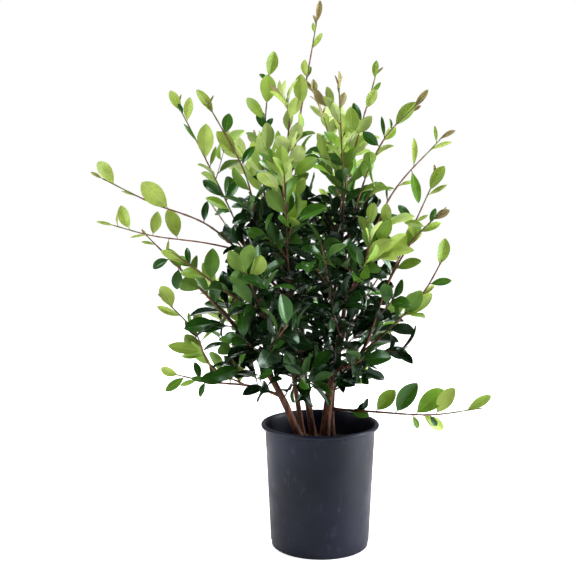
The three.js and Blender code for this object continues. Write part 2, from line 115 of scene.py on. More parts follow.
LIMB = {
    "ring_step": 0.004,
    "stem_sides": 22,
    "bough_sides": 14,
    "flare": 0.5,  # how much wider a stem is at its foot
    "flare_reach": 0.016,  # how fast the flare dies away upward
    "buried": 0.012,  # grown below the mix's top
    "collar": 0.45,  # swelling where a bough leaves its carrier
    "collar_reach": 0.007,
    "collar_full": 0.003,  # from the foot, before it dies away
    "overrun": 0.004,  # by which a limb runs on into its mass's first twig
    "ridges": 0.07,  # height of the bark's ridges, as a share of the radius
    "lumps": 0.09,
    "ridge_scale": (1.6, 1.6, 28),  # of the ridges' pattern, across and along the limb
    "ridge_detail": 2.2,
    "lump_scale": (0.5, 0.5, 60),
    "ridge_seed": 7.3,  # shift of the pattern from one limb to the next
    "lump_seed": 3.1,
}

TWIG = {
    "sides": 6,
    "ring_step": 0.009,
    "first": 0.014,  # from the mass's foot to its first side twig
    "spacing": 0.046,
    "last": 0.055,  # no side twig this close to the tip
    "keep_seed": 7000,
    "stray": 0.3,  # radians either way, added to the turn from one to the next
    "vigour": (0.8, 1.2),
    "top_share": 0.5,  # length of a twig at the mass's tip to one at its foot
    "opening": math.radians(48),
    "lift": 0.3,
    "arch": 0.12,
    "shortest": 0.030,
    "cut": 0.012,  # taken off a twig at a time until it fits
    "tests": (0.35, 0.7, 1.0),
    "stem_radius": 0.0019,  # of a mass's own stem at its foot, and at its tip
    "stem_tip": 0.0012,
    "slimmer": 0.62,  # a side twig's foot to the stem there
    "tip_radius": 0.0006,
    "knot": 0.22,  # swelling at every third ring, as a share of the radius
    "swell": 0.12,
    "swell_scale": 90,
    "swell_seed": 1.7,
}

BUD = {
    "length": (0.006, 0.010),
    "youngest": 0.1,  # only a twig whose tip is younger than this has a bud
    "rings": (0, 0.25, 0.55, 0.85, 1.0),
    "widths": (0.6, 1.0, 0.9, 0.45, 0.1),
    "slim": 0.17,  # its radius, as a share of its length
    "sides": 6,
}

FINE = {
    "seed": 3000,
    "share": 0.6,  # length of a finer twig to a side twig
    "shortest": 0.022,
    "spur_seed": 5000,
    "spur_gap": 0.024,  # between the leafy spurs on a bare limb
    "spur_reach": 125,  # they stand no farther from the shrub's middle, in millimetres
    "spur_length": (0.035, 0.085),
    "spur_lowest": 0.268,  # no spur's foot is lower
    "spur_opening": math.radians(62),
    "spur_leaf_gap": 0.014,
}

LEAF = {
    "seed": 1000,
    "wand_seed": 9000,
    "length": 0.053,
    "sizes": (0.8, 1.12),
    "widths": (0.88, 1.12),
    "slim": 0.30,  # width of the youngest leaf, as a share of its length
    "broad": 0.49,  # width of a grown leaf
    "smallest": 0.5,  # length of the youngest leaf to a grown one
    "grown": 0.085,  # a leaf this far behind the tip is grown
    "worn": (0.14, 0.27),  # leaves this far behind the tip are small, curled and turn any way
    "worn_length": 0.84,  # share of a younger leaf's length
    "worn_width": 0.86,
    "opening": math.radians(52),
    "upright": math.radians(24),  # opening of the youngest
    "spread_out": 0.22,  # a leaf this far behind the tip opens fully
    "openings": (0.75, 1.25),
    "lift": 0.32,
    "stray": 1.45,
    "skyward": 0.6,
    "bare": 0.012,  # leafless foot of a twig
    "inward": 0.001,
    "beyond": 0.022,  # by which the outermost leaf's tip stands out past the twig's end
    "thinning": {"fresh": 0.98, "mature": 1.0, "old": 0.9},  # gap between leaves
    "retries": (0, 1.2, -1.2, 2.4, -2.4),
    "leans": (8, -12, 28, -32, 48),  # degrees toward the front that a wand's leaf tries
    "stalk": 0.08,  # share of the length that is stalk
    "stalk_half": 0.0008,
    "rib_half": 0.0006,
    "thickness": 0.0007,
    "rib_thickness": 0.0016,
    "foot_sharpness": 0.9,  # of the outline
    "tip_sharpness": 0.82,
    "bend": (0.1, 0.75),  # radians, from foot to tip, of a leaf that isn't worn
    "fold": (0.12, 0.5),  # radians that each half rises from the rib
    "wave": (0.0, 0.1),  # height of the edge's waves, as a share of the half width
    "worn_bend": 0.6,  # added to those where the leaf is worn
    "worn_fold": 0.3,
    "worn_wave": 0.16,
    "worn_tilt": (-0.9, 0.6),
    "waves": 11,  # radians of waving along the leaf
    "fold_start": 6,  # the fold is full past one part in so many of the blade
    "seated": 0.5,  # its foot stands at this share of the twig's radius
    "wand_light": ((-0.5, 0.5), (0.1, 0.6)),  # how far sideways and upward a wand's leaf faces
    "stalk_end": 0.99,  # the least width applies up to here
    "rib_taper": 0.5,  # loss of the rib's width, and of its thickness, from foot to tip
    "rib_thinning": 0.6,
    "rib_widest": 0.5,  # the rib is at most this share of the blade
    "tip_pair": 0.004,  # between the two leaves at a twig's tip
}

SPACE = {
    "margin": 0.0016,  # inside the border with the next mass
    "limb": 0.0012,  # off any limb
    "twig": 0.0016,  # between a leaf and another twig
    "pot": 0.005,
    "box": 0.004,  # a leaf may stand out of the CAD box by this
    "spine_samples": 0.010,
    "limb_samples": 0.005,
    "twig_samples": 0.006,
    "neighbours": 0.065,  # leaves whose middles are nearer are tried for touching
}

# The shoots, in millimetres. Each row says where the shoot starts: a stem at a place on the mix, and
# a bough on a limb, so far along it. Then come the places that its curve passes, the last of them
# its tip; the length of the woody limb; its radius at the foot and at its end; the length of the
# side twigs; the distance between leaves; and the age of the leaves. Some rows go on with the share
# of the side twigs that stands, 1 unless given; the outer stretch whose leaves stand singly; what
# is taken off the tip; and how far from the shrub's middle its spurs still stand.
SHOOTS = {
    "stem_left": (
        (-24, -26), [(-70, -45, 287), (-105, -60, 350), (-170, -90, 445), (-300, -110, 582)],
        310, (8, 3.2), 60, 18, "mature", 0.6, 110, 0, 190,
    ),
    "stem_centre": (
        (-8, 4), [(-32, -20, 334), (-52, -35, 460), (-60, 0, 645), (-8, 0, 965)],
        470, (7, 2.6), 50, 26, "fresh", 0.8, 200,
    ),
    "stem_right": (
        (8, -22), [(22, -5, 318), (45, 0, 460), (43, 20, 650), (102, 45, 873)],
        420, (6.5, 2.4), 70, 23, "fresh", 0.75, 120,
    ),
    "stem_far_right": (
        (24, 12), [(26, 32, 290), (60, 45, 450), (126, 45, 640), (230, 70, 761)],
        400, (5.6, 2.2), 75, 23, "fresh", 0.5, 190,
    ),
    "stem_back_left": (
        (-28, 34), [(-60, 55, 380), (-105, 70, 660), (-96, 95, 889)],
        400, (5.6, 2.2), 65, 23, "fresh", 0.75, 150,
    ),
    "stem_back": (
        (4, 40), [(25, 68, 380), (31, 85, 690), (-13, 115, 871)],
        400, (5.2, 2.1), 65, 22, "fresh", 0.7, 0, 50,
    ),
    "low_left": (
        ("stem_left", 127), [(-128, -58, 312), (-200, -52, 318), (-265, -42, 330)],
        90, (3.2, 2), 45, 15, "fresh", 0.6, 100,
    ),
    "low_left_fork": (
        ("low_left", 70), [(-198, -70, 350), (-224, -80, 413), (-275, -88, 470)],
        0, (2, 2), 50, 20, "fresh", 0.5, 150,
    ),
    "left_arch": (
        ("stem_centre", 217), [(-103, -90, 441), (-170, -130, 493), (-250, -148, 555)],
        110, (2.8, 1.9), 70, 18, "mature", 0.3, 65, 0, 110,
    ),
    "high_left": (
        ("stem_centre", 292), [(-110, -58, 520), (-200, -62, 600), (-300, -60, 640), (-385, -60, 682)],
        190, (3.4, 1.8), 35, 25, "fresh", 0.1, 215, 0, 100,
    ),
    "long_left": (
        ("high_left", 140), [(-215, -20, 568), (-310, 20, 578), (-390, 36, 598)],
        60, (1.9, 1.6), 35, 22, "fresh", 0, 195,
    ),
    "upper_left": (
        ("high_left", 100), [(-171, 20, 636), (-225, 50, 743), (-269, 75, 826)],
        90, (2.1, 1.6), 70, 24, "fresh", 0.3, 145,
    ),
    "upper_left_inner": (
        ("stem_centre", 322), [(-107, -35, 590), (-138, -70, 699), (-200, -95, 815)],
        110, (2.4, 1.7), 75, 22, "fresh", 0.4, 150,
    ),
    "upper_front": (
        ("stem_centre", 392), [(-68, -90, 650), (-52, -135, 834)],
        0, (1.8, 1.8), 60, 22, "mature", 0.6, 0, 50,
    ),
    "upper_right_inner": (
        ("stem_right", 387), [(36, -75, 680), (27, -100, 839)],
        0, (1.8, 1.8), 60, 22, "fresh", 0.8,
    ),
    "upper_right": (
        ("stem_right", 357), [(64, -75, 650), (104, -100, 748), (165, -115, 813)],
        60, (2.2, 1.7), 75, 22, "fresh", 0.5, 115,
    ),
    "right": (
        ("stem_right", 152), [(76, -15, 368), (123, -10, 493), (210, 10, 685)],
        240, (3.4, 1.9), 60, 20, "fresh", 0.1, 125, 0, 105,
    ),
    "right_fork": (
        ("right", 205), [(160, -50, 570), (215, -60, 628)],
        0, (1.7, 1.7), 45, 20, "fresh", 0.3, 130,
    ),
    "right_reach": (
        ("right", 65), [(114, -58, 408), (174, -85, 478), (214, -90, 550)],
        70, (2.4, 1.8), 70, 20, "mature", 0.2, 130,
    ),
    "low_right": (
        ("stem_far_right", 77), [(94, -10, 254), (200, -28, 252), (290, -30, 264)],
        125, (2.8, 1.8), 50, 16, "fresh", 0, 250,
    ),
    "front_left": (
        ("stem_centre", 272), [(-60, -110, 540), (-66, -165, 695)],
        0, (2, 2), 80, 20, "mature",
    ),
    "front_right": (
        ("stem_right", 297), [(70, -95, 520), (82, -190, 626)],
        0, (2, 2), 80, 20, "mature", 1, 0, 60,
    ),
    "front_low_left": (
        ("left_arch", 60), [(-100, -120, 450), (-128, -210, 530)],
        0, (1.8, 1.8), 70, 18, "old",
    ),
    "front": (("stem_right", 222), [(20, -90, 450), (-5, -195, 575)], 0, (2, 2), 80, 18, "old"),
    "front_low": (("stem_left", 187), [(-95, -120, 385), (-60, -220, 445)], 0, (2, 2), 75, 18, "old"),
    "front_far_right": (
        ("right", 135), [(125, -90, 475), (130, -180, 550)],
        0, (1.8, 1.8), 75, 18, "old", 0.1, 0, 120,
    ),
    "front_low_right": (
        ("stem_right", 132), [(50, -80, 350), (95, -180, 400)],
        0, (2, 2), 75, 18, "old", 0.45, 0, 70,
    ),
    "centre_low": (
        ("stem_centre", 127), [(-38, -75, 325), (-35, -150, 350)],
        0, (1.8, 1.8), 60, 17, "old",
    ),
    "right_low": (
        ("stem_far_right", 112), [(90, 5, 320), (140, -40, 350)],
        0, (1.8, 1.8), 60, 17, "mature", 0, 0, 85,
    ),
    "back_left": (
        ("stem_back_left", 262), [(-130, 120, 520), (-221, 215, 640)],
        80, (2.6, 1.7), 80, 20, "mature", 0.25, 110,
    ),
    "back_upper_left": (
        ("stem_back_left", 367), [(-110, 130, 650), (-131, 205, 786)],
        0, (1.9, 1.9), 75, 22, "fresh", 0.3, 0, 30,
    ),
    "back": (
        ("stem_back", 247), [(25, 145, 520), (20, 245, 640)],
        80, (2.6, 1.7), 80, 20, "mature", 0.8,
    ),
    "back_upper": (
        ("stem_back", 367), [(46, 130, 670), (61, 200, 801)],
        0, (1.9, 1.9), 75, 22, "mature",
    ),
    "back_right": (
        ("stem_far_right", 227), [(115, 110, 490), (205, 190, 610)],
        80, (2.6, 1.7), 80, 20, "mature", 0.25, 120, 80,
    ),
    "back_low_right": (
        ("stem_far_right", 137), [(100, 100, 360), (182, 182, 432)],
        0, (2, 2), 75, 18, "mature", 0.4, 0, 20,
    ),
    "back_low_left": (
        ("stem_back_left", 157), [(-120, 110, 380), (-208, 175, 462)],
        0, (2, 2), 75, 18, "mature",
    ),
    "back_low": (("stem_back", 157), [(-5, 130, 380), (-25, 240, 462)], 0, (2, 2), 75, 18, "old", 0.9),
}

# The leaves that stand singly on the outermost stretch of a shoot: how far back each is from the
# tip of the outermost, in millimetres; the way it points in the broad plane, in degrees from +X
# toward +Z; its length in millimetres; its width as a share of that; and its kind.
WAND_LEAVES = {
    "stem_centre": [
        (28, 78, 42, 0.3, "flush"), (32, 96, 24, 0.3, "flush"), (46, 100, 19, 0.4, "fresh"),
        (74, 58, 36, 0.28, "fresh"), (126, 103, 34, 0.45, "fresh"), (128, 75, 26, 0.4, "mid"),
        (178, 92, 58, 0.5, "fresh"),
    ],
    "high_left": [
        (14, 150, 24, 0.3, "flush"), (45, 122, 52, 0.5, "fresh"), (92, 158, 32, 0.15, "fresh"),
        (150, 135, 69, 0.52, "fresh"), (215, 82, 38, 0.4, "old"),
    ],
    "long_left": [
        (30, 166, 34, 0.22, "fresh"), (36, 98, 26, 0.2, "flush"), (60, 110, 48, 0.52, "fresh"),
        (96, 186, 33, 0.18, "fresh"), (106, 76, 46, 0.5, "fresh"), (140, 262, 27, 0.22, "fresh"),
        (158, 103, 57, 0.55, "fresh"),
    ],
    "low_left_fork": [
        (14, 130, 18, 0.3, "flush"), (42, 110, 46, 0.58, "fresh"), (62, 157, 46, 0.3, "fresh"),
        (88, 100, 26, 0.3, "mid"), (100, 80, 44, 0.4, "fresh"), (112, 126, 38, 0.48, "mid"),
        (120, 48, 56, 0.14, "fresh"), (137, 169, 62, 0.34, "fresh"), (145, 180, 42, 0.28, "mid"),
    ],
    "low_left": [
        (30, 160, 36, 0.5, "fresh"), (42, 215, 44, 0.38, "mid"), (66, 196, 34, 0.3, "mid"),
        (90, 165, 36, 0.36, "mature"), (70, 100, 34, 0.42, "mature"), (80, 250, 30, 0.45, "mature"),
        (104, 112, 38, 0.4, "mid"), (126, 92, 40, 0.4, "mid"), (142, 84, 38, 0.36, "fresh"),
    ],
    "left_arch": [
        (48, 151, 52, 0.32, "fresh"), (54, 103, 32, 0.36, "mature"), (60, 146, 40, 0.42, "mid"),
        (98, 86, 56, 0.5, "mid"),
    ],
    "stem_left": [
        (12, 130, 18, 0.3, "flush"), (40, 165, 25, 0.25, "fresh"), (74, 205, 34, 0.55, "mature"),
        (96, 262, 38, 0.55, "mature"), (104, 120, 46, 0.4, "mid"),
    ],
    "upper_left": [
        (30, 76, 22, 0.2, "flush"), (44, 117, 47, 0.4, "fresh"), (50, 112, 22, 0.45, "mature"),
        (66, 82, 46, 0.42, "fresh"), (112, 120, 46, 0.16, "mature"), (148, 90, 66, 0.5, "fresh"),
        (164, 72, 40, 0.24, "fresh"), (228, 140, 52, 0.42, "mature"), (236, 60, 44, 0.42, "mature"),
        (256, 150, 50, 0.4, "mid"),
    ],
    "upper_left_inner": [
        (30, 58, 18, 0.22, "flush"), (50, 119, 54, 0.34, "fresh"), (88, 79, 36, 0.55, "mature"),
        (130, 129, 54, 0.48, "fresh"), (148, 60, 40, 0.4, "mature"),
    ],
    "stem_back_left": [
        (10, 60, 17, 0.25, "flush"), (38, 76, 50, 0.5, "fresh"), (46, 134, 22, 0.55, "mature"),
        (90, 84, 58, 0.56, "fresh"), (120, 127, 58, 0.38, "fresh"), (138, 106, 40, 0.5, "mature"),
        (142, 68, 32, 0.42, "mature"), (170, 98, 28, 0.6, "mid"),
    ],
    "stem_right": [
        (12, 50, 20, 0.25, "flush"), (30, 86, 34, 0.42, "fresh"), (62, 52, 32, 0.28, "mid"),
        (88, 64, 41, 0.5, "fresh"), (112, 118, 38, 0.42, "mature"),
    ],
    "upper_right": [
        (40, 52, 40, 0.3, "flush"), (50, 30, 24, 0.3, "flush"), (84, 50, 54, 0.46, "fresh"),
        (90, 98, 18, 0.35, "mature"), (110, 98, 38, 0.2, "mature"), (116, 46, 42, 0.4, "mid"),
        (126, 140, 38, 0.5, "mature"),
    ],
    "stem_far_right": [
        (28, 36, 34, 0.32, "flush"), (38, 97, 33, 0.22, "mid"), (56, 26, 44, 0.24, "fresh"),
        (102, 86, 56, 0.22, "fresh"), (108, 284, 64, 0.3, "mid"), (150, 24, 42, 0.2, "fresh"),
        (184, 98, 30, 0.14, "mature"),
    ],
    "right": [
        (20, 96, 24, 0.25, "flush"), (50, 64, 54, 0.44, "fresh"), (58, 30, 40, 0.24, "fresh"),
        (112, 32, 26, 0.3, "fresh"), (118, 150, 28, 0.34, "fresh"), (122, 118, 52, 0.36, "mature"),
    ],
    "right_fork": [
        (48, 34, 34, 0.46, "flush"), (56, 70, 28, 0.42, "mature"), (80, 27, 44, 0.3, "fresh"),
        (118, 72, 53, 0.5, "mid"), (66, 158, 38, 0.4, "fresh"), (94, 104, 34, 0.4, "fresh"),
    ],
    "right_reach": [
        (44, 76, 50, 0.5, "fresh"), (80, 13, 40, 0.36, "mature"), (104, 40, 30, 0.3, "fresh"),
        (158, 44, 70, 0.5, "fresh"), (150, 60, 56, 0.5, "mid"),
    ],
    "low_right": [
        (46, 34, 54, 0.36, "fresh"), (102, 60, 60, 0.5, "fresh"), (112, 300, 26, 0.45, "mature"),
        (126, 325, 56, 0.4, "fresh"), (140, 44, 72, 0.5, "mid"), (144, 295, 30, 0.4, "mid"),
        (176, 57, 70, 0.54, "mature"), (212, 52, 54, 0.56, "mid"), (238, 66, 26, 0.36, "old"),
        (250, 35, 26, 0.5, "old"), (264, 347, 38, 0.5, "mature"),
    ],
    "front_left": [
        (38, 99, 58, 0.5, "fresh"),
    ],
}

# Leaves deep in the crown and low down get older, darker kinds. This is partly the real age of inner
# leaves and partly painted shade where the crown shades itself.
CROWN_MIDDLE = np.array([-0.02, 0.0, 0.52])
CROWN_REACH = np.array([0.22, 0.30, 0.38])
DEPTHS = (0.35, 0.8)  # leaves are worn inside the first share of that reach, and not past the last
DEPTH_AGE_AND_SHADE = (1.3, 0.6)  # age is taken by this much, deep in the crown and at its edge
HEIGHTS = (0.45, 0.67)
HEIGHT_AGE_AND_SHADE = (1.62, 0.86)  # and by this much at those heights
TINT_AGE = {"fresh": 0.0, "mature": 0.05, "old": 0.17}  # age of a shoot's tip
SIDE_AGE = 0.7  # a side twig's tip is this share of its carrier's age there
SPUR_AGE = 0.3
AGE_JITTER = (0.72, 1.35)
# Ages, in metres of growth behind the tip, below which a leaf belongs to a kind. A leaf's age is also
# raised deep in the crown and low down, which gives it a darker kind there. This is partly the real
# age of inner leaves and partly painted shade.
KIND_AGES = {"flush": 0.021, "fresh": 0.084, "mid": 0.15, "mature": 0.25, "old": math.inf}
WOOD_AGES = {"green": 0.06, "tan": 0.22, "brown": math.inf}


def srgb(red, green, blue):
    """A colour given as on a screen, 0 to 255, as the linear values a shader takes."""
    linear = [
        value / 12.92 if value <= 0.04045 else ((value + 0.055) / 1.055) ** 2.4
        for value in (red / 255, green / 255, blue / 255)
    ]
    return (*linear, 1.0)


# The tones of each kind of leaf, as on a screen: upper side, underside and midrib.
TONES = {
    "flush": [
        ((154, 156, 84), (164, 168, 106), (156, 142, 90)),
        ((144, 132, 78), (154, 144, 98), (150, 126, 82)),
        ((142, 126, 82), (152, 138, 98), (150, 124, 84)),
    ],
    "fresh": [
        ((152, 176, 72), (166, 184, 106), (180, 196, 106)),
        ((168, 190, 90), (176, 192, 118), (192, 206, 120)),
        ((134, 162, 60), (150, 170, 90), (162, 184, 92)),
    ],
    "mid": [
        ((100, 140, 38), (116, 146, 58), (134, 164, 68)),
        ((84, 124, 32), (100, 132, 50), (116, 148, 60)),
        ((122, 156, 48), (134, 158, 66), (150, 176, 80)),
    ],
    "mature": [
        ((44, 86, 22), (52, 86, 28), (72, 110, 42)),
        ((36, 74, 18), (45, 75, 22), (64, 99, 35)),
        ((62, 106, 29), (68, 102, 36), (92, 128, 50)),
    ],
    "old": [
        ((13, 38, 9), (20, 42, 12), (32, 58, 24)),
        ((20, 50, 12), (28, 53, 16), (40, 69, 27)),
        ((9, 28, 8), (14, 32, 10), (25, 46, 20)),
    ],
}
ROUGHNESS = {"flush": 0.5, "fresh": 0.42, "mid": 0.32, "mature": 0.24, "old": 0.2}
GLOSS = {"flush": 0.25, "fresh": 0.3, "mid": 0.36, "mature": 0.42, "old": 0.42}
GLOSS_TINT = (0.72, 1.0, 0.82, 1.0)
UNDER_ROUGHER = 0.15  # than the upper side
RIB_ROUGHNESS = 0.45
DULL_GLOSS = 0.3  # of undersides and ribs
WHITE = (1.0, 1.0, 1.0, 1.0)
WOOD_TONES = {"green": srgb(104, 104, 56), "tan": srgb(112, 72, 50), "brown": srgb(78, 43, 31)}
WOOD_ROUGHNESS = 0.6
BUD_TONE = srgb(132, 118, 66)
BUD_ROUGHNESS = 0.5
BARK = {
    "dark": srgb(42, 23, 15),
    "light": srgb(104, 60, 38),
    "flecks": srgb(142, 100, 68),
    "roughness": 0.7,
    "gloss": 0.3,
}
PLASTIC = {
    "dark": srgb(4, 5, 13),
    "light": srgb(22, 24, 43),
    "dust": srgb(58, 60, 80),
    "scratches": srgb(76, 79, 104),
    "roughness": 0.5,
    "gloss": 0.26,
    "gloss_tint": (0.8, 0.86, 1.0, 1.0),
}
HUMUS = {"dark": srgb(22, 15, 11), "light": srgb(64, 46, 34), "roughness": 0.95}
CHIP_TONES = (srgb(60, 42, 30), srgb(84, 58, 40), srgb(40, 28, 21), srgb(104, 78, 56))
CHIP_ROUGHNESS = 0.85
# How dark and how light a material's colour gets.
SHADES = {"leaf": (0.88, 1.1), "twig": (0.72, 1.18), "chip": (0.6, 1.25)}
# The materials' patterns: a noise's scale, detail and stretch, and the values between which it
# turns; in some the values that it turns to, 0 and 1 unless given.
EVEN = (1, 1, 1)
PATTERNS = {
    "leaf_mottle": (45, 1.0, EVEN, 0.35, 0.65),
    "twig_streaks": (260, 4.0, (1, 1, 0.25), 0.35, 0.7),
    "bark_streaks": (150, 6.0, (1, 1, 0.18), 0.36, 0.66),
    "bark_flecks": (210, 3.0, (1, 1, 0.5), 0.62, 0.74),
    "pot_clouds": (9, 4.0, EVEN, 0.3, 0.7),
    "pot_dust": (60, 8.0, (1, 1, 0.6), 0.6, 0.76, 0.0, 0.4),
    "pot_scratches": (36, 9.0, (3.0, 3.0, 0.35), 0.64, 0.78, 0.0, 0.3),
    "pot_roughness": (24, 5.0, EVEN, 0.3, 0.7, 0.38, 0.54),
    "humus_grains": (190, 8.0, EVEN, 0.35, 0.7),
    "chip_grain": (230, 5.0, EVEN, 0.3, 0.7),
}
LEAF_GRAIN = (90, 0.0, EVEN)
POT_GRAIN = (170, 4.0, EVEN)
# Distance and strength of each material's bump.
RELIEFS = {
    "leaf": (0.0007, 0.25),
    "twig": (0.0003, 0.6),
    "bark": (0.0008, 0.8),
    "pot": (0.0003, 0.35),
    "humus": (0.002, 1.0),
    "chip": (0.001, 0.8),
}
SLOTS = {
    "flush": "foliage_fresh",
    "fresh": "foliage_fresh",
    "mid": "foliage_mature",
    "mature": "foliage_mature",
    "old": "foliage_old",
}

# ------------------------------------------------------------------ materials


def add_node(tree, kind, sockets=None, **settings):
    """A new node. Its sockets are given numbers, colours, or other nodes' outputs."""
    node = tree.nodes.new(kind)
    for name, value in settings.items():
        setattr(node, name, value)
    for socket, value in (sockets or {}).items():
        if isinstance(value, bpy.types.NodeSocket):
            tree.links.new(value, node.inputs[socket])
        else:
            node.inputs[socket].default_value = value
    return node


class Shader:
    """A material under construction: its nodes, and one Principled shader."""

    def __init__(self, name, roughness):
        self.material = bpy.data.materials.new(name)
        self.material.use_nodes = True
        self.tree = self.material.node_tree
        self.principled = self.tree.nodes["Principled BSDF"]
        self.set(Roughness=roughness)
        self.place = add_node(self.tree, "ShaderNodeTexCoord").outputs["Object"]

    def set(self, **sockets):
        for name, value in sockets.items():
            self.principled.inputs[name.replace("_", " ")].default_value = value

    def link(self, output, socket):
        """Leads an output to a socket of the Principled shader."""
        self.tree.links.new(output, self.principled.inputs[socket])

    def noise(self, scale, detail, stretch):
        """A noise in the object's space, drawn out where stretch is small."""
        place = add_node(self.tree, "ShaderNodeMapping", {"Scale": stretch, "Vector": self.place})
        sockets = {"Scale": scale, "Detail": detail, "Vector": place.outputs["Vector"]}
        return add_node(self.tree, "ShaderNodeTexNoise", sockets).outputs["Fac"]

    def ramp(self, value, low, high, start=0.0, end=1.0):
        """value from low to high, spread to run from start to end."""
        sockets = {"Value": value, "From Min": low, "From Max": high, "To Min": start, "To Max": end}
        return add_node(self.tree, "ShaderNodeMapRange", sockets).outputs["Result"]

    def pattern(self, name):
        scale, detail, stretch, *limits = PATTERNS[name]
        return self.ramp(self.noise(scale, detail, stretch), *limits)

    def mix(self, factor, first, second):
        """A mix of two colours, or of the colour outputs of nodes."""
        sockets = {0: factor, 6: first, 7: second}
        return add_node(self.tree, "ShaderNodeMix", sockets, data_type="RGBA").outputs[2]

    def base(self, colour):
        self.link(colour, "Base Color")

    def bump(self, height, relief):
        distance, strength = RELIEFS[relief]
        sockets = {"Height": height, "Distance": distance, "Strength": strength}
        self.link(add_node(self.tree, "ShaderNodeBump", sockets).outputs["Normal"], "Normal")


def scaled(colour, factor):
    return (*(min(channel * factor, 1.0) for channel in colour[:3]), 1.0)


def shades(colour, name):
    dark, light = SHADES[name]
    return scaled(colour, dark), scaled(colour, light)


def grained(name, roughness, pattern, dark, light, relief):
    """A material whose pattern runs from dark to light and stands in slight relief."""
    shader = Shader(name, roughness)
    grain = shader.pattern(pattern)
    shader.base(shader.mix(grain, dark, light))
    shader.bump(grain, relief)
    return shader.material


def leaf_material(name, colour, roughness, gloss):
    """One side of a leaf: its plain colour, slightly uneven, over a fine grain."""
    shader = Shader(name, roughness)
    shader.base(shader.mix(shader.pattern("leaf_mottle"), *shades(srgb(*colour), "leaf")))
    shader.bump(shader.noise(*LEAF_GRAIN), "leaf")
    shader.set(Specular_IOR_Level=gloss, Specular_Tint=GLOSS_TINT)
    return shader.material


def leaf_materials(kind):
    """Upper side, underside and midrib for each tone of a kind of leaf, in that order."""
    made = []
    rough = ROUGHNESS[kind]
    for number, (upper, under, rib) in enumerate(TONES[kind], start=1):
        name = f"leaf_{kind}_{number}"
        made.append(leaf_material(name + "_upper", upper, rough, GLOSS[kind]))
        made.append(leaf_material(name + "_under", under, rough + UNDER_ROUGHER, DULL_GLOSS))
        made.append(leaf_material(name + "_rib", rib, RIB_ROUGHNESS, DULL_GLOSS))
    return made


def wood_material(name, colour, roughness):
    """Bark of a twig: fine streaks along it, with darker marks."""
    return grained(name, roughness, "twig_streaks", *shades(colour, "twig"), "twig")


def bark_material():
    """Bark of stems and boughs: red-brown, streaked and flecked with grey-tan."""
    shader = Shader("bark", BARK["roughness"])
    streaks = shader.pattern("bark_streaks")
    brown = shader.mix(streaks, BARK["dark"], BARK["light"])
    shader.base(shader.mix(shader.pattern("bark_flecks"), brown, BARK["flecks"]))
    shader.bump(streaks, "bark")
    shader.set(Specular_IOR_Level=BARK["gloss"])
    return shader.material


def pot_material():
    """Black nursery plastic: slate under light, dusty and faintly scuffed."""
    shader = Shader("pot_plastic", PLASTIC["roughness"])
    plastic = shader.mix(shader.pattern("pot_clouds"), PLASTIC["dark"], PLASTIC["light"])
    dusty = shader.mix(shader.pattern("pot_dust"), plastic, PLASTIC["dust"])
    shader.base(shader.mix(shader.pattern("pot_scratches"), dusty, PLASTIC["scratches"]))
    shader.link(shader.pattern("pot_roughness"), "Roughness")
    shader.bump(shader.noise(*POT_GRAIN), "pot")
    shader.set(Specular_IOR_Level=PLASTIC["gloss"], Specular_Tint=PLASTIC["gloss_tint"])
    return shader.material


def humus_material():
    tones = (HUMUS["dark"], HUMUS["light"])
    return grained("humus", HUMUS["roughness"], "humus_grains", *tones, "humus")


def chip_material(name, colour):
    return grained(name, CHIP_ROUGHNESS, "chip_grain", *shades(colour, "chip"), "chip")


# ------------------------------------------------------------------ meshes


class Piece:
    """The vertices and faces of one piece, collected before it is made."""

    def __init__(self):
        self.vertices = []
        self.faces = []
        self.kinds = []
        self.count = 0

    def add(self, vertices, faces, kinds):
        """Adds a part. kinds gives each face's material, or is one for all."""
        vertices = np.asarray(vertices, float).reshape(-1, 3)
        self.vertices.append(vertices)
        self.faces.extend(tuple(i + self.count for i in face) for face in faces)
        self.kinds.extend([kinds] * len(faces) if isinstance(kinds, int) else kinds)
        self.count += len(vertices)

    def build(self, name, materials, slot, replaced=(), crease=40):
        """Makes the piece, lets it ride on the one body and stand for the replaced nodes."""
        mesh = bpy.data.meshes.new(name)
        mesh.from_pydata(np.concatenate(self.vertices).tolist(), [], self.faces)
        for material in materials:
            mesh.materials.append(material)
        mesh.polygons.foreach_set("material_index", self.kinds)
        mesh.polygons.foreach_set("use_smooth", [True] * len(self.faces))
        mesh.set_sharp_from_angle(angle=math.radians(crease))
        mesh.update()
        piece = bpy.data.objects.new(name, mesh)
        bpy.context.scene.collection.objects.link(piece)
        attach(piece, "root")
        if replaced:
            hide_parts(*replaced)


def band(rings, sides):
    """The faces between closed rings of vertices, each ring with so many sides."""
    faces = []
    for ring in range(rings - 1):
        for side in range(sides):
            near = ring * sides + side
            beside = ring * sides + (side + 1) % sides
            faces.append((near, beside, beside + sides, near + sides))
    return faces


def turned(profile, sides):
    """A closed turned shape, from a profile that starts and ends on the axis."""
    inner = profile[1:-1]
    turns = np.linspace(0, 2 * math.pi, sides, endpoint=False)
    radii, heights = np.array(inner, float).T[..., None]
    rings = np.stack([radii * np.cos(turns), radii * np.sin(turns), heights + 0 * turns], axis=-1)
    rings = rings.reshape(-1, 3)
    ends = np.array([[0, 0, profile[0][1]], [0, 0, profile[-1][1]]])
    bottom, top = len(rings), len(rings) + 1
    last = (len(inner) - 1) * sides
    faces = band(len(inner), sides)
    faces += [(bottom, (side + 1) % sides, side) for side in range(sides)]
    faces += [(top, last + side, last + (side + 1) % sides) for side in range(sides)]
    return np.vstack([rings, ends]), faces


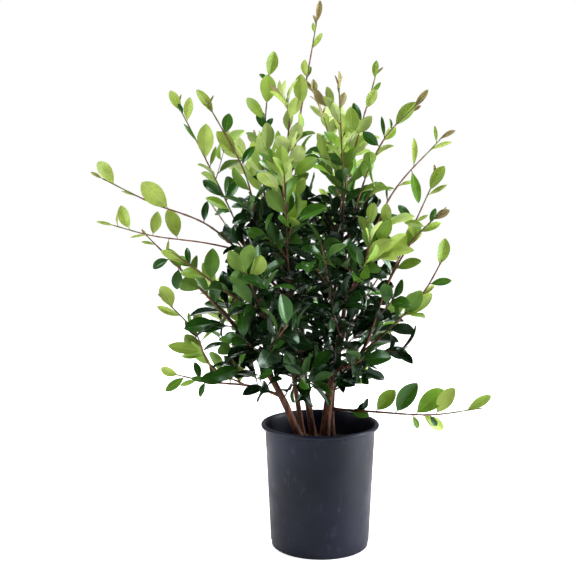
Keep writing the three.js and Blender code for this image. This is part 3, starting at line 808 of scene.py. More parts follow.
def tube(middles, directions, radii, sides, relief=None):
    """A round tube through the middles, closed at both ends. relief gives a radius's change, as
    a share, at a ring's number and turns."""
    side = square(directions[0])
    turns = np.linspace(0, 2 * math.pi, sides, endpoint=False)
    rings = []
    for i, (middle, along, radius) in enumerate(zip(middles, directions, radii)):
        side = unit(side - along * np.dot(side, along))
        cross = np.cross(along, side)
        ring_radii = np.full(sides, radius)
        if relief is not None:
            ring_radii = ring_radii * (1 + relief(i, turns))
        right, up = ring_radii * np.cos(turns), ring_radii * np.sin(turns)
        rings.append(middle + np.outer(right, side) + np.outer(up, cross))
    faces = band(len(middles), sides)
    last = (len(middles) - 1) * sides
    faces.append(tuple(reversed(range(sides))))
    faces.append(tuple(last + i for i in range(sides)))
    return np.vstack(rings), faces


# ------------------------------------------------------------------ curves


def unit(vector):
    return vector / np.linalg.norm(vector)


def square(direction):
    """A unit vector square to the given one."""
    helper = UP if abs(direction[2]) < 0.8 else np.array([1.0, 0.0, 0.0])
    return unit(np.cross(direction, helper))


class Path:
    """A smooth curve through places, measured in metres from its start."""

    def __init__(self, places):
        places = np.array(places, float)
        before = 2 * places[0] - places[1]
        after = 2 * places[-1] - places[-2]
        self.places = np.vstack([before, places, after])
        self.shares = np.linspace(0, 1, CURVE_DIVISIONS + 1)
        steps = np.linalg.norm(np.diff(self.point(self.shares), axis=0), axis=1)
        self.reached = np.concatenate([[0], np.cumsum(steps)])
        self.length = self.reached[-1]

    def point(self, share):
        spans = len(self.places) - 3
        scaled_share = np.clip(share, 0, 1) * spans
        span = np.minimum(np.floor(scaled_share).astype(int), spans - 1)
        w = np.asarray(scaled_share - span)[..., None]
        a, b, c, d = (self.places[span + i] for i in range(4))
        leave, arrive = (c - a) / 2, (d - b) / 2
        square_term = 3 * (c - b) - 2 * leave - arrive
        cube_term = 2 * (b - c) + leave + arrive
        return b + leave * w + square_term * w**2 + cube_term * w**3

    def at(self, distance):
        return self.point(np.interp(distance, self.reached, self.shares))

    def tangent(self, distance):
        share = np.interp(distance, self.reached, self.shares)
        ahead = self.point(np.minimum(share + TANGENT_STEP, 1))
        behind = self.point(np.maximum(share - TANGENT_STEP, 0))
        step = ahead - behind
        return step / np.linalg.norm(step, axis=-1, keepdims=True)


def spread(start, end, step):
    """Distances from start to end, about a step apart."""
    return np.linspace(start, end, max(math.ceil((end - start) / step), 1) + 1)


def blended(value, low, high, start, end):
    """value from low to high, spread to run from start to end, as in a straight line."""
    return start + (end - start) * (value - low) / (high - low)


# ------------------------------------------------------------------ shoots and limbs


class Shoot:
    """A stem or bough with its mass of leaves, on one curve, from a row of SHOOTS."""

    def __init__(self, name, seed, shoots, start, places, bare, thick, side, gap, tint, keep=1,
                 wand=0, trim=0, spurs=FINE["spur_reach"]):
        self.name = name
        self.seed = seed
        self.bare = bare * MM
        self.thick = [radius * MM for radius in thick]
        self.side = side * MM
        self.gap = gap * MM
        self.tint = tint
        self.keep = keep
        self.wand = wand * MM
        self.trim = trim * MM
        self.spurs = spurs * MM
        first, second = start
        self.is_stem = not isinstance(first, str)
        if self.is_stem:
            foot = np.array([first * MM, second * MM, MIX_LEVEL - LIMB["buried"]])
        else:
            foot = shoots[first].path.at(second * MM)
        self.path = Path([foot, *(np.array(place) * MM for place in places)])

    def radius(self, distance):
        """Radius of the bare limb."""
        foot, end = self.thick
        radius = foot + (end - foot) * np.minimum(distance / self.bare, 1)
        if not self.is_stem:
            return radius
        above = np.maximum(distance - LIMB["buried"], 0)
        return radius * (1 + LIMB["flare"] * np.exp(-above / LIMB["flare_reach"]))


def lay_out_shoots():
    shoots = {}
    for number, (name, row) in enumerate(SHOOTS.items(), start=1):
        shoots[name] = Shoot(name, number, shoots, *row)
    return shoots


def bark_relief(shoot, distances):
    """Long ridges and slow lumps on a limb's radius."""

    def pattern(place, scale, detail, shift):
        scaled_place = [value * factor for value, factor in zip(place, scale)]
        return noise.noise(Vector(scaled_place) * detail + Vector(shift))

    def relief(i, turns):
        changes = []
        for turn in turns:
            place = (math.cos(turn), math.sin(turn), distances[i])
            shift = (shoot.seed * LIMB["ridge_seed"], 0, 0)
            ridge = pattern(place, LIMB["ridge_scale"], LIMB["ridge_detail"], shift)
            lump = pattern(place, LIMB["lump_scale"], 1.0, (0, shoot.seed * LIMB["lump_seed"], 0))
            changes.append(LIMB["ridges"] * ridge + LIMB["lumps"] * lump)
        return np.array(changes)

    return relief


def add_limb(piece, shoot):
    """A tapering limb with the bark's relief, grown out of what carries it."""
    distances = spread(0, shoot.bare + LIMB["overrun"], LIMB["ring_step"])
    radii = shoot.radius(distances)
    if not shoot.is_stem:
        past_collar = np.maximum(distances - LIMB["collar_full"], 0)
        radii = radii * (1 + LIMB["collar"] * np.exp(-past_collar / LIMB["collar_reach"]))
    sides = LIMB["stem_sides"] if shoot.is_stem else LIMB["bough_sides"]
    middles, directions = shoot.path.at(distances), shoot.path.tangent(distances)
    piece.add(*tube(middles, directions, radii, sides, bark_relief(shoot, distances)), 0)


# ------------------------------------------------------------------ growth


def dice(seed):
    """Park and Miller's generator: the same draws between low and high in every run."""
    state = seed * DICE["spread"] + DICE["offset"]

    def draw(low, high):
        nonlocal state
        state = (state * DICE["multiplier"]) % DICE["modulus"]
        return low + (high - low) * state / DICE["modulus"]

    return draw


def branching(along, turn, opening, lift):
    """A direction that opens from along by an angle, turned about it and pulled upward."""
    side = square(along)
    cross = np.cross(along, side)
    opened = side * math.cos(turn) + cross * math.sin(turn)
    return unit(along * math.cos(opening) + opened * math.sin(opening) + UP * lift)


class Twig:
    """A twig on a path from start to end, with the radius at both and the age of its tip."""

    def __init__(self, path, start, end, radii, tip_age, leaf_gap, wand=0):
        self.path = path
        self.start = start
        self.end = end
        self.radii = radii
        self.tip_age = tip_age
        self.leaf_gap = leaf_gap
        self.wand = wand

    def radius(self, distance):
        return blended(distance, self.start, self.end, *self.radii)

    def age(self, distance):
        return self.tip_age + self.end - distance


def side_path(foot, direction, length):
    """The gently arching path of a side twig."""
    shares = (0, 0.5, 1)
    rise = TWIG["arch"] * length
    return Path([foot + direction * length * share + UP * rise * share**2 for share in shares])


def outline(share):
    """Half the blade's width along its length, as a share of the widest."""
    foot, tip = LEAF["foot_sharpness"], LEAF["tip_sharpness"]
    widest = foot / (foot + tip)
    return (share / widest) ** foot * ((1 - share) / (1 - widest)) ** tip


def beyond_stalk(share):
    """Shares of a leaf's length as shares of its blade's, which starts where the stalk ends."""
    return np.clip((share - LEAF["stalk"]) / (1 - LEAF["stalk"]), 0, 1)


COARSE_TRIANGLES = np.array([(0, 1, 3), (0, 3, 5), (0, 2, 4), (0, 4, 5)])
COARSE_EDGES = np.array([(0, 1), (1, 3), (3, 5), (0, 2), (2, 4), (4, 5), (0, 5)])


class Leaf:
    """One leaf: where it stands, how it lies and how it is bent."""

    def __init__(self, foot, direction, light, length, width, draw, worn=0.0):
        self.foot = foot
        self.direction = direction
        self.across = unit(np.cross(light, direction))
        self.upper = np.cross(direction, self.across)
        self.length = length
        self.half = length * width / 2
        self.bend = draw(*LEAF["bend"]) + LEAF["worn_bend"] * worn
        self.fold = draw(*LEAF["fold"]) + LEAF["worn_fold"] * worn
        self.wave = draw(*LEAF["wave"]) + LEAF["worn_wave"] * worn
        self.phase = draw(0, 2 * math.pi)

    def blade(self, share, aside):
        """Places on the upper side, at shares of its length and of its half width there, and
        the direction square to the blade's middle."""
        blade_share = beyond_stalk(share)
        least = LEAF["stalk_half"] * (share < LEAF["stalk_end"])
        half = np.maximum(self.half * outline(blade_share), least)
        turned_by = self.bend * share
        sine, cosine = np.sin(turned_by)[..., None], np.cos(turned_by)[..., None]
        middle = (
            self.foot
            + self.direction * (self.length * sine / self.bend)
            - self.upper * (self.length * (1 - cosine) / self.bend)
        )
        square_out = self.direction * sine + self.upper * cosine
        fold = self.fold * np.minimum(blade_share * LEAF["fold_start"], 1)
        ripple = self.wave * np.sin(share * LEAF["waves"] + self.phase + aside) * aside**2
        rise = half * np.abs(aside) * (np.sin(fold) + ripple)
        out = self.across * (half * aside * np.cos(fold))[..., None]
        return middle + out + square_out * rise[..., None], square_out

    def coarse(self):
        """The triangles and edges of a plain stand-in, to find what the leaf touches. Its
        corners are the foot, a near pair, a far pair and the tip."""
        share = np.array([0.1, 0.4, 0.4, 0.75, 0.75, 0.97])
        aside = np.array([0, 1, -1, 1, -1, 0])
        corners = self.blade(share, aside)[0]
        return corners[COARSE_TRIANGLES], corners[COARSE_EDGES]

    def samples(self):
        share = np.array([0.45, 0.45, 0.45, 0.75, 0.75, 0.75, 1.0])
        aside = np.array([-0.8, 0, 0.8, -0.7, 0, 0.7, 0])
        return self.blade(share, aside)[0]


def crossing(edges, triangles):
    """True if any of the edges goes through any of the triangles."""
    start = edges[:, None, 0]
    way = edges[:, None, 1] - start
    corner = triangles[None, :, 0]
    first = triangles[None, :, 1] - corner
    second = triangles[None, :, 2] - corner
    pitch = np.cross(way, second)
    turn = np.einsum("ijk,ijk->ij", first + 0 * pitch, pitch)
    with np.errstate(divide="ignore", invalid="ignore"):
        reach = start - corner
        u = np.einsum("ijk,ijk->ij", reach, pitch) / turn
        lean = np.cross(reach, first)
        v = np.einsum("ijk,ijk->ij", way + 0 * lean, lean) / turn
        along = np.einsum("ijk,ijk->ij", second + 0 * lean, lean) / turn
    return bool(np.any((u > 0) & (v > 0) & (u + v < 1) & (along > 0) & (along < 1)))


class Surroundings:
    """What a new twig or leaf keeps clear of: other masses' curves, limbs, twigs, leaves, pot."""

    def __init__(self, shoots):
        self.names = {name: i for i, name in enumerate(shoots)}
        spines = [
            shoot.path.at(spread(shoot.bare, shoot.path.length, SPACE["spine_samples"]))
            for shoot in shoots.values()
        ]
        self.spines = np.vstack(spines)
        self.starts = np.cumsum([0] + [len(spine) for spine in spines[:-1]])
        limbs = [
            (shoot, spread(0, shoot.bare, SPACE["limb_samples"]))
            for shoot in shoots.values()
            if shoot.bare
        ]
        self.limbs = np.vstack([shoot.path.at(distances) for shoot, distances in limbs])
        self.limb_radii = np.concatenate([shoot.radius(distances) for shoot, distances in limbs])
        self.twigs = np.zeros((0, 3))
        self.twig_owners = np.zeros(0, int)
        self.middles = np.zeros((0, 3))
        self.triangles = np.zeros((0, *COARSE_TRIANGLES.shape, 3))
        self.edges = np.zeros((0, *COARSE_EDGES.shape, 3))
        low, high = (np.array(corner) for corner in CAD_BOX)
        self.low = low - SPACE["box"]
        self.high = high + SPACE["box"]

    def open_at(self, places, off_limb):
        """True if all the places are off the pot and every limb and inside the CAD box."""
        near_pot = (places[:, 2] < POT["height"] + SPACE["pot"]) & (
            np.hypot(places[:, 0], places[:, 1]) < POT["rim_radius"] + SPACE["pot"]
        )
        if near_pot.any() or (places < self.low).any() or (places > self.high).any():
            return False
        off = np.linalg.norm(places[:, None] - self.limbs[None], axis=2)
        return bool((off > self.limb_radii + off_limb).all())

    def own_space(self, name, place):
        """True if the place is nearer to its own mass's curve than to any other."""
        off = np.linalg.norm(self.spines - place, axis=1)
        nearest = np.minimum.reduceat(off, self.starts)
        own = nearest[self.names[name]]
        nearest[self.names[name]] = np.inf
        return nearest.min() > own + SPACE["margin"]

    def add_twig(self, twig):
        places = twig.path.at(spread(twig.start, twig.end, SPACE["twig_samples"]))
        owner = self.twig_owners.max(initial=0) + 1
        self.twigs = np.vstack([self.twigs, places])
        self.twig_owners = np.concatenate([self.twig_owners, np.full(len(places), owner)])
        return owner

    def takes(self, leaf, owner):
        """True if the leaf has room, in which case it is kept in mind."""
        samples = leaf.samples()
        if not self.open_at(samples, SPACE["limb"]):
            return False
        others = self.twigs[self.twig_owners != owner]
        off = np.linalg.norm(samples[:, None] - others[None], axis=2)
        if (off < SPACE["twig"]).any():
            return False
        triangles, edges = leaf.coarse()
        middle = samples[1]
        near = np.linalg.norm(self.middles - middle, axis=1) < SPACE["neighbours"]
        if near.any() and (
            crossing(edges, self.triangles[near].reshape(-1, 3, 3))
            or crossing(self.edges[near].reshape(-1, 2, 3), triangles)
        ):
            return False
        self.middles = np.vstack([self.middles, middle])
        self.triangles = np.concatenate([self.triangles, triangles[None]])
        self.edges = np.concatenate([self.edges, edges[None]])
        return True


def fitted(name, foot, direction, wanted, shortest, around):
    """The longest side path of at most the wanted length that keeps to its space, or None."""
    length = wanted
    while length >= shortest:
        path = side_path(foot, direction, length)
        places = path.at(np.array(TWIG["tests"]) * path.length)
        off_limb = TWIG["stem_tip"] + SPACE["limb"]
        if around.open_at(places, off_limb) and all(around.own_space(name, p) for p in places):
            return path
        length -= TWIG["cut"]
    return None


def next_turn(draw):
    """The angle from one twig or leaf to the next, round what carries them."""
    return GOLDEN_TURN + draw(-TWIG["stray"], TWIG["stray"])


def side_twig(path, carrier, at, leaf_gap):
    """A twig on a side path, slimmer and younger than its carrier is there."""
    foot = carrier.radius(at) * TWIG["slimmer"]
    tip_age = carrier.age(at) * SIDE_AGE
    return Twig(path, 0, path.length, (foot, TWIG["tip_radius"]), tip_age, leaf_gap)


def grow_twigs(shoot, around):
    """The twigs of one mass: its own stem, the side twigs, and finer ones between those. None
    stands on the wand at the tip, and a shoot that the sky shows through keeps only some."""
    path = shoot.path
    draw = dice(shoot.seed)
    fine_draw = dice(FINE["seed"] + shoot.seed)
    keep_draw = dice(TWIG["keep_seed"] + shoot.seed)
    start, end = shoot.bare, path.length - shoot.trim
    radii = (shoot.thick[1] if shoot.bare else TWIG["stem_radius"], TWIG["stem_tip"])
    gap = shoot.gap * LEAF["thinning"][shoot.tint]
    stem = Twig(path, start, end, radii, TINT_AGE[shoot.tint], gap, shoot.wand)
    twigs = [stem]

    def grow(place, twig_turn, wanted, shortest, kept):
        direction = branching(path.tangent(place), twig_turn, TWIG["opening"], TWIG["lift"])
        found = fitted(shoot.name, path.at(place), direction, wanted, shortest, around)
        if found and kept:
            twigs.append(side_twig(found, stem, place, gap))

    turn = draw(0, 2 * math.pi)
    at = start + TWIG["first"]
    while at < path.length - TWIG["last"]:
        turn += next_turn(draw)
        vigour = draw(*TWIG["vigour"])
        wanted = shoot.side * vigour * blended(at, start, path.length, 1, TWIG["top_share"])
        kept = keep_draw(0, 1) < shoot.keep and at < end - shoot.wand
        grow(at, turn, wanted, TWIG["shortest"], kept)
        if shoot.tint != "fresh" and kept:
            finer_turn = turn + GOLDEN_TURN / 2 + fine_draw(-TWIG["stray"], TWIG["stray"])
            between = at + TWIG["spacing"] / 2
            grow(between, finer_turn, wanted * FINE["share"], FINE["shortest"], True)
        at += TWIG["spacing"]
    return twigs


def grow_spurs(shoot, around):
    """Short leafy twigs on a bare limb, where it runs inside the crown."""
    draw = dice(FINE["spur_seed"] + shoot.seed)
    spurs = []
    turn = draw(0, 2 * math.pi)
    for at in spread(FINE["spur_gap"], shoot.bare, FINE["spur_gap"]):
        turn += next_turn(draw)
        wanted = draw(*FINE["spur_length"])
        foot = shoot.path.at(at)
        off_middle = math.hypot(foot[0] - CROWN_MIDDLE[0], foot[1] - CROWN_MIDDLE[1])
        if foot[2] < FINE["spur_lowest"] or off_middle > shoot.spurs:
            continue
        direction = branching(shoot.path.tangent(at), turn, FINE["spur_opening"], TWIG["lift"])
        start = shoot.radius(at)
        path = side_path(foot + direction * start, direction, wanted)
        if not around.open_at(path.at(np.array(TWIG["tests"]) * path.length), SPACE["limb"]):
            continue
        path = side_path(foot, direction, wanted + start)
        radii = (TWIG["stem_tip"], TWIG["tip_radius"])
        spurs.append(Twig(path, start, path.length, radii, SPUR_AGE, FINE["spur_leaf_gap"]))
    return spurs


def light_on(draw, worn):
    """Where a leaf's upper side turns: to the sky, and before or behind the shrub. A worn leaf's
    may turn any way."""
    facing = -1 if draw(-1, 1) < 0 else 1
    stray = blended(worn, 0, 1, LEAF["stray"], math.pi)
    azimuth = facing * math.pi / 2 + draw(-stray, stray)
    upward = LEAF["skyward"] + worn * draw(*LEAF["worn_tilt"])
    return np.array([math.cos(azimuth), math.sin(azimuth), upward])


def outwardness(place):
    """How far out of the crown's middle a place is, as a share of the crown's reach."""
    return float(np.linalg.norm((place - CROWN_MIDDLE) / CROWN_REACH))


def kind_of(age, limits):
    return next(kind for kind, limit in limits.items() if age < limit)


def placed(twig, place, direction, light, size, width, draw, around, owner, worn=0.0):
    """A leaf that stands on the twig there, or None where it has no room."""
    foot = twig.path.at(place) + direction * twig.radius(place) * LEAF["seated"]
    leaf = Leaf(foot, direction, light, size, width, draw, worn)
    return leaf if around.takes(leaf, owner) else None


def wand_leaves(shoot, twig, draw, around, owner):
    """The single leaves that stand on the outer stretch of a shoot, facing the front."""
    leaves = []
    for back, heading, length, width, kind in WAND_LEAVES.get(shoot.name, ()):
        place = min(twig.end, twig.end + LEAF["beyond"] - back * MM)
        tone = int(draw(0, len(TONES["fresh"])))
        aside, above = LEAF["wand_light"]
        light = unit(np.array([draw(*aside), -1.0, draw(*above)]))
        across, up = math.cos(math.radians(heading)), math.sin(math.radians(heading))
        for lean in np.radians(LEAF["leans"]):
            level = math.cos(lean)
            direction = np.array([across * level, -math.sin(lean), up * level])
            leaf = placed(twig, place, direction, light, length * MM, width, draw, around, owner)
            if leaf:
                leaves.append((kind, tone, leaf))
                break
    return leaves


def leaf_places(twig):
    """How far along a twig its leaves stand, ending with two at its tip where it isn't a wand."""
    first, end, gap = twig.start + LEAF["bare"], twig.end - LEAF["inward"], twig.leaf_gap
    if twig.wand:
        return list(np.arange(first, end - twig.wand, gap))
    return [*np.arange(first, end - gap / 2, gap), end - LEAF["tip_pair"], end]


def grow_leaves(twig, draw, around, owner):
    """The leaves of one twig, alternate and turning round it, with the youngest at its tip."""
    leaves = []
    turn = draw(0, 2 * math.pi)
    for place in leaf_places(twig):
        along, middle = twig.path.tangent(place), twig.path.at(place)
        behind = twig.tip_age + twig.end - place
        grown = min(behind / LEAF["grown"], 1)
        outward = outwardness(middle)
        worn = np.interp(behind, LEAF["worn"], (0, 1)) * np.interp(outward, DEPTHS, (1, 0))
        light = light_on(draw, worn)
        size = LEAF["length"] * draw(*LEAF["sizes"]) * blended(grown, 0, 1, LEAF["smallest"], 1)
        size *= blended(worn, 0, 1, 1, LEAF["worn_length"])
        width = draw(*LEAF["widths"]) * blended(grown, 0, 1, LEAF["slim"], LEAF["broad"])
        width *= blended(worn, 0, 1, 1, LEAF["worn_width"])
        spreading = min(behind / LEAF["spread_out"], 1)
        opening = blended(spreading, 0, 1, LEAF["upright"], LEAF["opening"])
        opening *= draw(*LEAF["openings"])
        turn += next_turn(draw)
        # Depth in the crown and low height raise the age and so darken the leaf's kind: partly real
        # age, partly painted shade.
        age = behind * draw(*AGE_JITTER) * np.interp(outward, DEPTHS, DEPTH_AGE_AND_SHADE)
        age *= np.interp(middle[2], HEIGHTS, HEIGHT_AGE_AND_SHADE)
        tone = int(draw(0, len(TONES["fresh"])))
        for retry in LEAF["retries"]:
            direction = branching(along, turn + retry, opening, LEAF["lift"])
            leaf = placed(twig, place, direction, light, size, width, draw, around, owner, worn)
            if leaf:
                leaves.append((kind_of(age, KIND_AGES), tone, leaf))
                break
    return leaves


# ------------------------------------------------------------------ leaves and twigs as meshes

LEAF_ROWS = np.array([0, 0.075, 0.13, 0.22, 0.34, 0.48, 0.62, 0.75, 0.86, 0.94])
LEAF_COLUMNS = 6
UPPER, UNDER, RIB = range(3)


def leaf_faces():
    """Faces of a leaf over its upper places, tip and under places, and which side each is."""
    rows, columns = len(LEAF_ROWS), LEAF_COLUMNS
    tip = rows * columns

    def upper(row, column):
        return row * columns + column

    def under(row, column):
        if column in (0, columns - 1):
            return upper(row, column)
        return tip + row * (columns - 2) + column

    faces = []
    for left in range(columns - 1):
        right = left + 1
        side = RIB if left == columns // 2 - 1 else UPPER
        for near in range(rows - 1):
            far = near + 1
            top = (upper(near, left), upper(near, right), upper(far, right), upper(far, left))
            back = (under(near, left), under(far, left), under(far, right), under(near, right))
            faces += [(top, side), (back, UNDER)]
        faces.append(((upper(rows - 1, left), upper(rows - 1, right), tip), side))
        faces.append(((under(rows - 1, right), under(rows - 1, left), tip), UNDER))
    foot = [upper(0, column) for column in reversed(range(columns))]
    foot += [under(0, column) for column in range(1, columns - 1)]
    faces.append((tuple(foot), UNDER))
    return zip(*faces)


LEAF_FACES, LEAF_SIDES = leaf_faces()


def add_leaf(piece, leaf, tone):
    """A leaf as a thin closed blade: its upper side, with the midrib's strip, and underside."""
    share = LEAF_ROWS[:, None] + np.zeros(LEAF_COLUMNS)
    half = np.maximum(leaf.half * outline(beyond_stalk(LEAF_ROWS)), LEAF["stalk_half"])
    rib_half = LEAF["rib_half"] * (1 - LEAF["rib_taper"] * LEAF_ROWS)
    rib = np.minimum(rib_half / half, LEAF["rib_widest"])[:, None]
    halfway = (1 + rib) / 2
    one = np.ones_like(rib)
    aside = np.hstack([-one, -halfway, -rib, rib, halfway, one])
    upper, square_out = leaf.blade(share, aside)
    tip, _ = leaf.blade(np.array([1.0]), np.array([0.0]))
    edge = LEAF["thickness"] * one
    middle = LEAF["rib_thickness"] * (1 - LEAF["rib_thinning"] * LEAF_ROWS)[:, None]
    thick = np.hstack([edge, middle, middle, edge])[..., None]
    under = upper[:, 1:-1] - square_out[:, 1:-1] * thick
    vertices = np.vstack([upper.reshape(-1, 3), tip, under.reshape(-1, 3)])
    piece.add(vertices, LEAF_FACES, [3 * tone + side for side in LEAF_SIDES])


def add_twig(piece, twig, seed):
    """A twig as a slim tube with slight knots, its faces coloured by the wood's age."""
    distances = spread(twig.start, twig.end, TWIG["ring_step"])
    middles, directions = twig.path.at(distances), twig.path.tangent(distances)
    sides = TWIG["sides"]

    def relief(i, turns):
        knot = TWIG["knot"] if i % 3 == 1 else 0.0
        place = (distances[i] * TWIG["swell_scale"], seed * TWIG["swell_seed"], 0)
        return np.full(len(turns), knot + TWIG["swell"] * noise.noise(Vector(place)))

    vertices, faces = tube(middles, directions, twig.radius(distances), sides, relief)
    order = list(WOOD_AGES)
    ages = [order.index(kind_of(twig.age(place), WOOD_AGES)) for place in distances[:-1]]
    piece.add(vertices, faces, [*np.repeat(ages, sides).tolist(), ages[0], ages[-1]])


def add_bud(piece, twig, draw):
    """The pointed bud at a twig's tip."""
    length = draw(*BUD["length"])
    along = twig.path.tangent(twig.end)
    middles = twig.path.at(twig.end) + np.outer(BUD["rings"], along) * length
    radii = np.array(BUD["widths"]) * length * BUD["slim"]
    piece.add(*tube(middles, [along] * len(radii), radii, BUD["sides"]), 0)


# ------------------------------------------------------------------ pot and mix


UNDER_RIM = POT["height"] - 2 * POT["bead_radius"]


def wall(height):
    """Radius of the wall's outside."""
    return blended(height, 0, UNDER_RIM, POT["base_radius"], POT["wall_top_radius"])


def pot_profile():
    """The pot's section, from the middle of its underside round the rim to its inside floor."""
    foot, edge = wall(0) - POT["foot_inset"], POT["foot_round"]
    step, bead = POT["step"], POT["bead_radius"]
    profile = [(0, 0), (foot - edge * POT["foot_flat"], 0)]
    for turn in np.radians(POT["foot_arc"]):
        profile.append((foot - edge + edge * math.cos(turn), edge + edge * math.sin(turn)))
    profile.append((foot, POT["foot_height"] - step))
    profile.append((wall(POT["foot_height"]) - step / 2, POT["foot_height"] + step))
    low, high = POT["wall_clear"]
    for height in np.linspace(POT["foot_height"] + low, UNDER_RIM - high, POT["wall_rings"]):
        profile.append((wall(height), height))
    for turn in np.radians(np.linspace(*POT["bead_arc"])):
        out, up = bead * (math.cos(turn) - 1), bead * (math.sin(turn) - 1)
        profile.append((POT["rim_radius"] + out, POT["height"] + up))
    inner_top = wall(UNDER_RIM) - POT["wall"]
    inner_foot = wall(POT["floor"]) - POT["wall"] - POT["foot_inset"]
    for height in np.linspace(UNDER_RIM, POT["floor"], POT["inside_rings"]):
        profile.append((blended(height, POT["floor"], UNDER_RIM, inner_foot, inner_top), height))
    profile.append((0, POT["floor"]))
    return profile


def make_pot():
    """The pot, its wall slightly out of round above the foot."""
    piece = Piece()
    vertices, faces = turned(pot_profile(), POT["sides"])
    for vertex in vertices:
        around = Vector([value * scale for value, scale in zip(vertex, POT["warp_scale"])])
        lift = min(vertex[2] / POT["foot_height"], 1)
        stray = noise.noise(around) * POT["warp"] * lift
        radius = math.hypot(vertex[0], vertex[1])
        if radius > POT["base_radius"] / 2:
            vertex[:2] *= 1 + stray / radius
    piece.add(vertices, faces, 0)
    piece.build("pot_shell", [pot_material()], "pot_plastic", ["pot"], crease=50)


def mix_height(x, y):
    """Height of the mix's uneven top."""
    below = MIX["sunk"]
    for scale, layer, share in MIX["bumps"]:
        below -= noise.noise(Vector((x * scale, y * scale, layer))) * share
    return MIX_LEVEL - MIX["relief"] * below


def make_mix():
    """The potting mix: an uneven top on a shallow disc, strewn with bark chips."""
    piece = Piece()
    radius = wall(MIX_LEVEL) - POT["wall"] - POT["foot_inset"] * MIX["slack"]
    profile = [(0, MIX_LEVEL - MIX["depth"]), (radius, MIX_LEVEL - MIX["depth"])]
    for share in np.linspace(1, MIX["innermost"], MIX["rings"]):
        profile.append((radius * share, MIX_LEVEL))
    profile.append((0, MIX_LEVEL))
    vertices, faces = turned(profile, MIX["sides"])
    for vertex in vertices:
        if vertex[2] > MIX_LEVEL - MIX["depth"] / 2:
            vertex[2] = mix_height(vertex[0], vertex[1])
    piece.add(vertices, faces, 0)
    draw = dice(MIX["chip_seed"])
    for _ in range(MIX["chips"]):
        add_chip(piece, radius, draw)
    tones = [chip_material(f"chip_{i}", tone) for i, tone in enumerate(CHIP_TONES, start=1)]
    piece.build("mix_top", [humus_material(), *tones], "potting_mix", ["potting_mix"])


def add_chip(piece, radius, draw):
    """A flat splinter of bark lying askew on the mix."""
    length = draw(*MIX["chip_length"])
    off = (radius - length * MIX["chip_inset"]) * math.sqrt(draw(0, 1))
    azimuth = draw(0, 2 * math.pi)
    x, y = off * math.cos(azimuth), off * math.sin(azimuth)
    middle = np.array([x, y, mix_height(x, y) + MIX["chip_rise"]])
    heading = draw(0, math.pi)
    along = unit(np.array([math.cos(heading), math.sin(heading), draw(*MIX["chip_tilt"])]))
    across = unit(np.cross(UP, along) + UP * draw(*MIX["chip_tilt"]))
    out = np.cross(along, across)
    width, height = length * draw(*MIX["chip_width"]), length * draw(*MIX["chip_height"])
    sides = MIX["chip_sides"]
    corners = []
    for level in (-0.5, 0.5):
        for i in range(sides):
            turn = i * math.pi / (sides / 2) + draw(*MIX["chip_corner"])
            reach = draw(*MIX["chip_reach"]) * (1 if level < 0 else MIX["chip_top"])
            corners.append(
                middle
                + along * length / 2 * math.cos(turn) * reach
                + across * width / 2 * math.sin(turn) * reach
                + out * height * level
            )
    faces = band(2, sides)
    faces += [tuple(reversed(range(sides))), tuple(range(sides, 2 * sides))]
    piece.add(corners, faces, 1 + int(draw(0, len(CHIP_TONES))))


# ------------------------------------------------------------------ the shrub


def make_shrub():
    """Grows the limbs and twigs of every shoot, then the leaves, and makes the pieces."""
    shoots = lay_out_shoots()
    around = Surroundings(shoots)
    limbs, boughs, wood, buds = Piece(), Piece(), Piece(), Piece()
    foliage = {kind: Piece() for kind in KIND_AGES}
    grown = []
    for shoot in shoots.values():
        if shoot.bare:
            add_limb(limbs if shoot.is_stem else boughs, shoot)
        twigs = grow_twigs(shoot, around)
        if shoot.bare:
            twigs += grow_spurs(shoot, around)
        grown.append((shoot, [(twig, around.add_twig(twig)) for twig in twigs]))
    for shoot, twigs in grown:
        draw = dice(LEAF["wand_seed"] + shoot.seed)
        stem, owner = twigs[0]
        for kind, tone, leaf in wand_leaves(shoot, stem, draw, around, owner):
            add_leaf(foliage[kind], leaf, tone)
    for shoot, twigs in grown:
        draw = dice(LEAF["seed"] + shoot.seed)
        for twig, owner in twigs:
            add_twig(wood, twig, owner)
            for kind, tone, leaf in grow_leaves(twig, draw, around, owner):
                add_leaf(foliage[kind], leaf, tone)
            if twig.tip_age < BUD["youngest"]:
                add_bud(buds, twig, draw)
    stems = [shoot.name for shoot in shoots.values() if shoot.is_stem]
    bough_nodes = ["bough_" + s.name for s in shoots.values() if s.bare and not s.is_stem]
    limbs.build("stem_bark", [bark_material()], "bark", stems)
    boughs.build("bough_bark", [bark_material()], "bark", bough_nodes)
    woods = [
        wood_material("twig_" + kind, tone, WOOD_ROUGHNESS) for kind, tone in WOOD_TONES.items()
    ]
    wood.build("twigs", woods, "bark")
    buds.build("buds", [wood_material("bud", BUD_TONE, BUD_ROUGHNESS)], "foliage_fresh")
    tints = {"fresh": [], "mature": [], "old": []}
    for shoot in shoots.values():
        tints[shoot.tint].append("leaves_" + shoot.name)
    for kind, piece in foliage.items():
        piece.build("leaves_" + kind, leaf_materials(kind), SLOTS[kind], tints.get(kind, ()))


# ------------------------------------------------------------------ stage, light and camera


FLOOR = {
    "half": 12.0,
    "roughness": 0.9,
    "colour": (0.95, 0.95, 0.95, 1.0),
    "glow": (0.15, 1.4, 0.6, 0.9),  # between two distances from the part, between two strengths
    "unseen": 0.22,  # share of the glow that lights other things
}
# Along y, from and to, and the surround's strength there as a light.
SURROUND = {"From Min": -1.0, "From Max": 0.6, "To Min": 0.005, "To Max": 0.3}


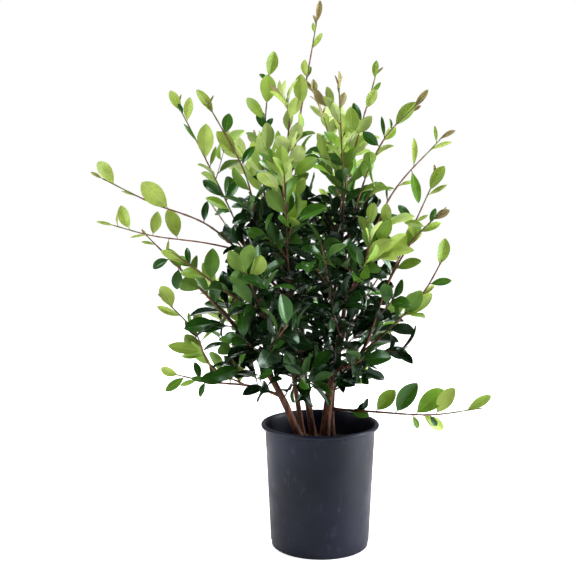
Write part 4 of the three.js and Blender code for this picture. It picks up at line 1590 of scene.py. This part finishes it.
def make_stage():
    """A white floor. Away from the part it glows, to stay white, and lights little else."""
    shader = Shader("floor", FLOOR["roughness"])
    shader.set(Base_Color=FLOOR["colour"], Emission_Color=WHITE)

    def node(kind, sockets=None, **settings):
        return add_node(shader.tree, "ShaderNode" + kind, sockets, **settings)

    distance = node("VectorMath", {0: shader.place}, operation="LENGTH").outputs["Value"]
    glow = shader.ramp(distance, *FLOOR["glow"])
    looked_at = node("LightPath").outputs["Is Camera Ray"]
    seen = node("MapRange", {"Value": looked_at, "To Min": FLOOR["unseen"]}).outputs["Result"]
    strength = node("Math", {0: glow, 1: seen}, operation="MULTIPLY").outputs["Value"]
    shader.link(strength, "Emission Strength")
    shader.material.cycles.emission_sampling = "NONE"  # so wide and faint a light adds grain
    mesh = bpy.data.meshes.new("floor")
    half = FLOOR["half"]
    corners = [(-half, -half, 0), (half, -half, 0), (half, half, 0), (-half, half, 0)]
    mesh.from_pydata(corners, [], [(0, 1, 2, 3)])
    mesh.materials.append(shader.material)
    floor = bpy.data.objects.new("floor", mesh)
    bpy.context.scene.collection.objects.link(floor)


def make_world():
    """White where it is looked at; as a light, dimmer on the side that the shrub faces."""
    world = bpy.data.worlds.new("surround")
    bpy.context.scene.world = world
    world.use_nodes = True
    world.node_tree.nodes.clear()

    def node(kind, sockets=None):
        return add_node(world.node_tree, "ShaderNode" + kind, sockets)

    place = node("TexCoord").outputs["Generated"]
    side = node("SeparateXYZ", {0: place}).outputs["Y"]
    fade = node("MapRange", {"Value": side, **SURROUND}).outputs["Result"]
    light = node("Background", {"Color": WHITE, "Strength": fade}).outputs[0]
    seen = node("Background", {"Color": WHITE, "Strength": 1.0}).outputs[0]
    looked_at = node("LightPath").outputs["Is Camera Ray"]
    mix = node("MixShader", {0: looked_at, 1: light, 2: seen}).outputs[0]
    node("OutputWorld", {"Surface": mix})


def make_lamp(name, place, target, size, power):
    data = bpy.data.lights.new(name, "AREA")
    data.shape = "RECTANGLE"
    data.size, data.size_y = size
    data.energy = power
    lamp = bpy.data.objects.new(name, data)
    lamp.location = place
    way = Vector(target) - Vector(place)
    lamp.rotation_euler = way.to_track_quat("-Z", "Y").to_euler()
    bpy.context.scene.collection.objects.link(lamp)


# Each lamp's place, the place that it faces, its width and height, and its power.
LAMPS = {
    "right": ((2.1, 0.2, 1.0), (0, 0, 0.5), (0.7, 2.0), 62),
    "low_right": ((1.8, -0.55, 0.3), (0, 0, 0.12), (0.7, 0.5), 21),
    "low_left": ((-1.8, -0.4, 0.3), (0, 0, 0.12), (0.6, 0.5), 9),
    "left": ((-2.1, -0.9, 2.0), (0, 0, 0.55), (0.8, 1.0), 34),
    "top": ((0.2, -0.4, 2.7), (0, 0, 0.6), (1.3, 0.8), 36),
    "back": ((-0.4, 1.7, 2.2), (0, 0, 0.6), (1.6, 1.0), 55),
}
CAMERA = {
    "place": (-0.0597, -1.829, 0.671),
    "down": math.radians(5.87),
    "lens": 62.5,
    "sensor": 36.0,
}


def make_camera():
    data = bpy.data.cameras.new("camera")
    data.lens = CAMERA["lens"]
    data.sensor_width = CAMERA["sensor"]
    camera = bpy.data.objects.new("camera", data)
    camera.location = CAMERA["place"]
    camera.rotation_euler = (math.pi / 2 - CAMERA["down"], 0, 0)
    bpy.context.scene.collection.objects.link(camera)
    bpy.context.scene.camera = camera


make_camera()
make_world()
make_stage()
for lamp_name, lamp_plan in LAMPS.items():
    make_lamp("lamp_" + lamp_name, *lamp_plan)
bpy.context.scene.view_settings.view_transform = "Standard"
make_pot()
make_mix()
make_shrub()
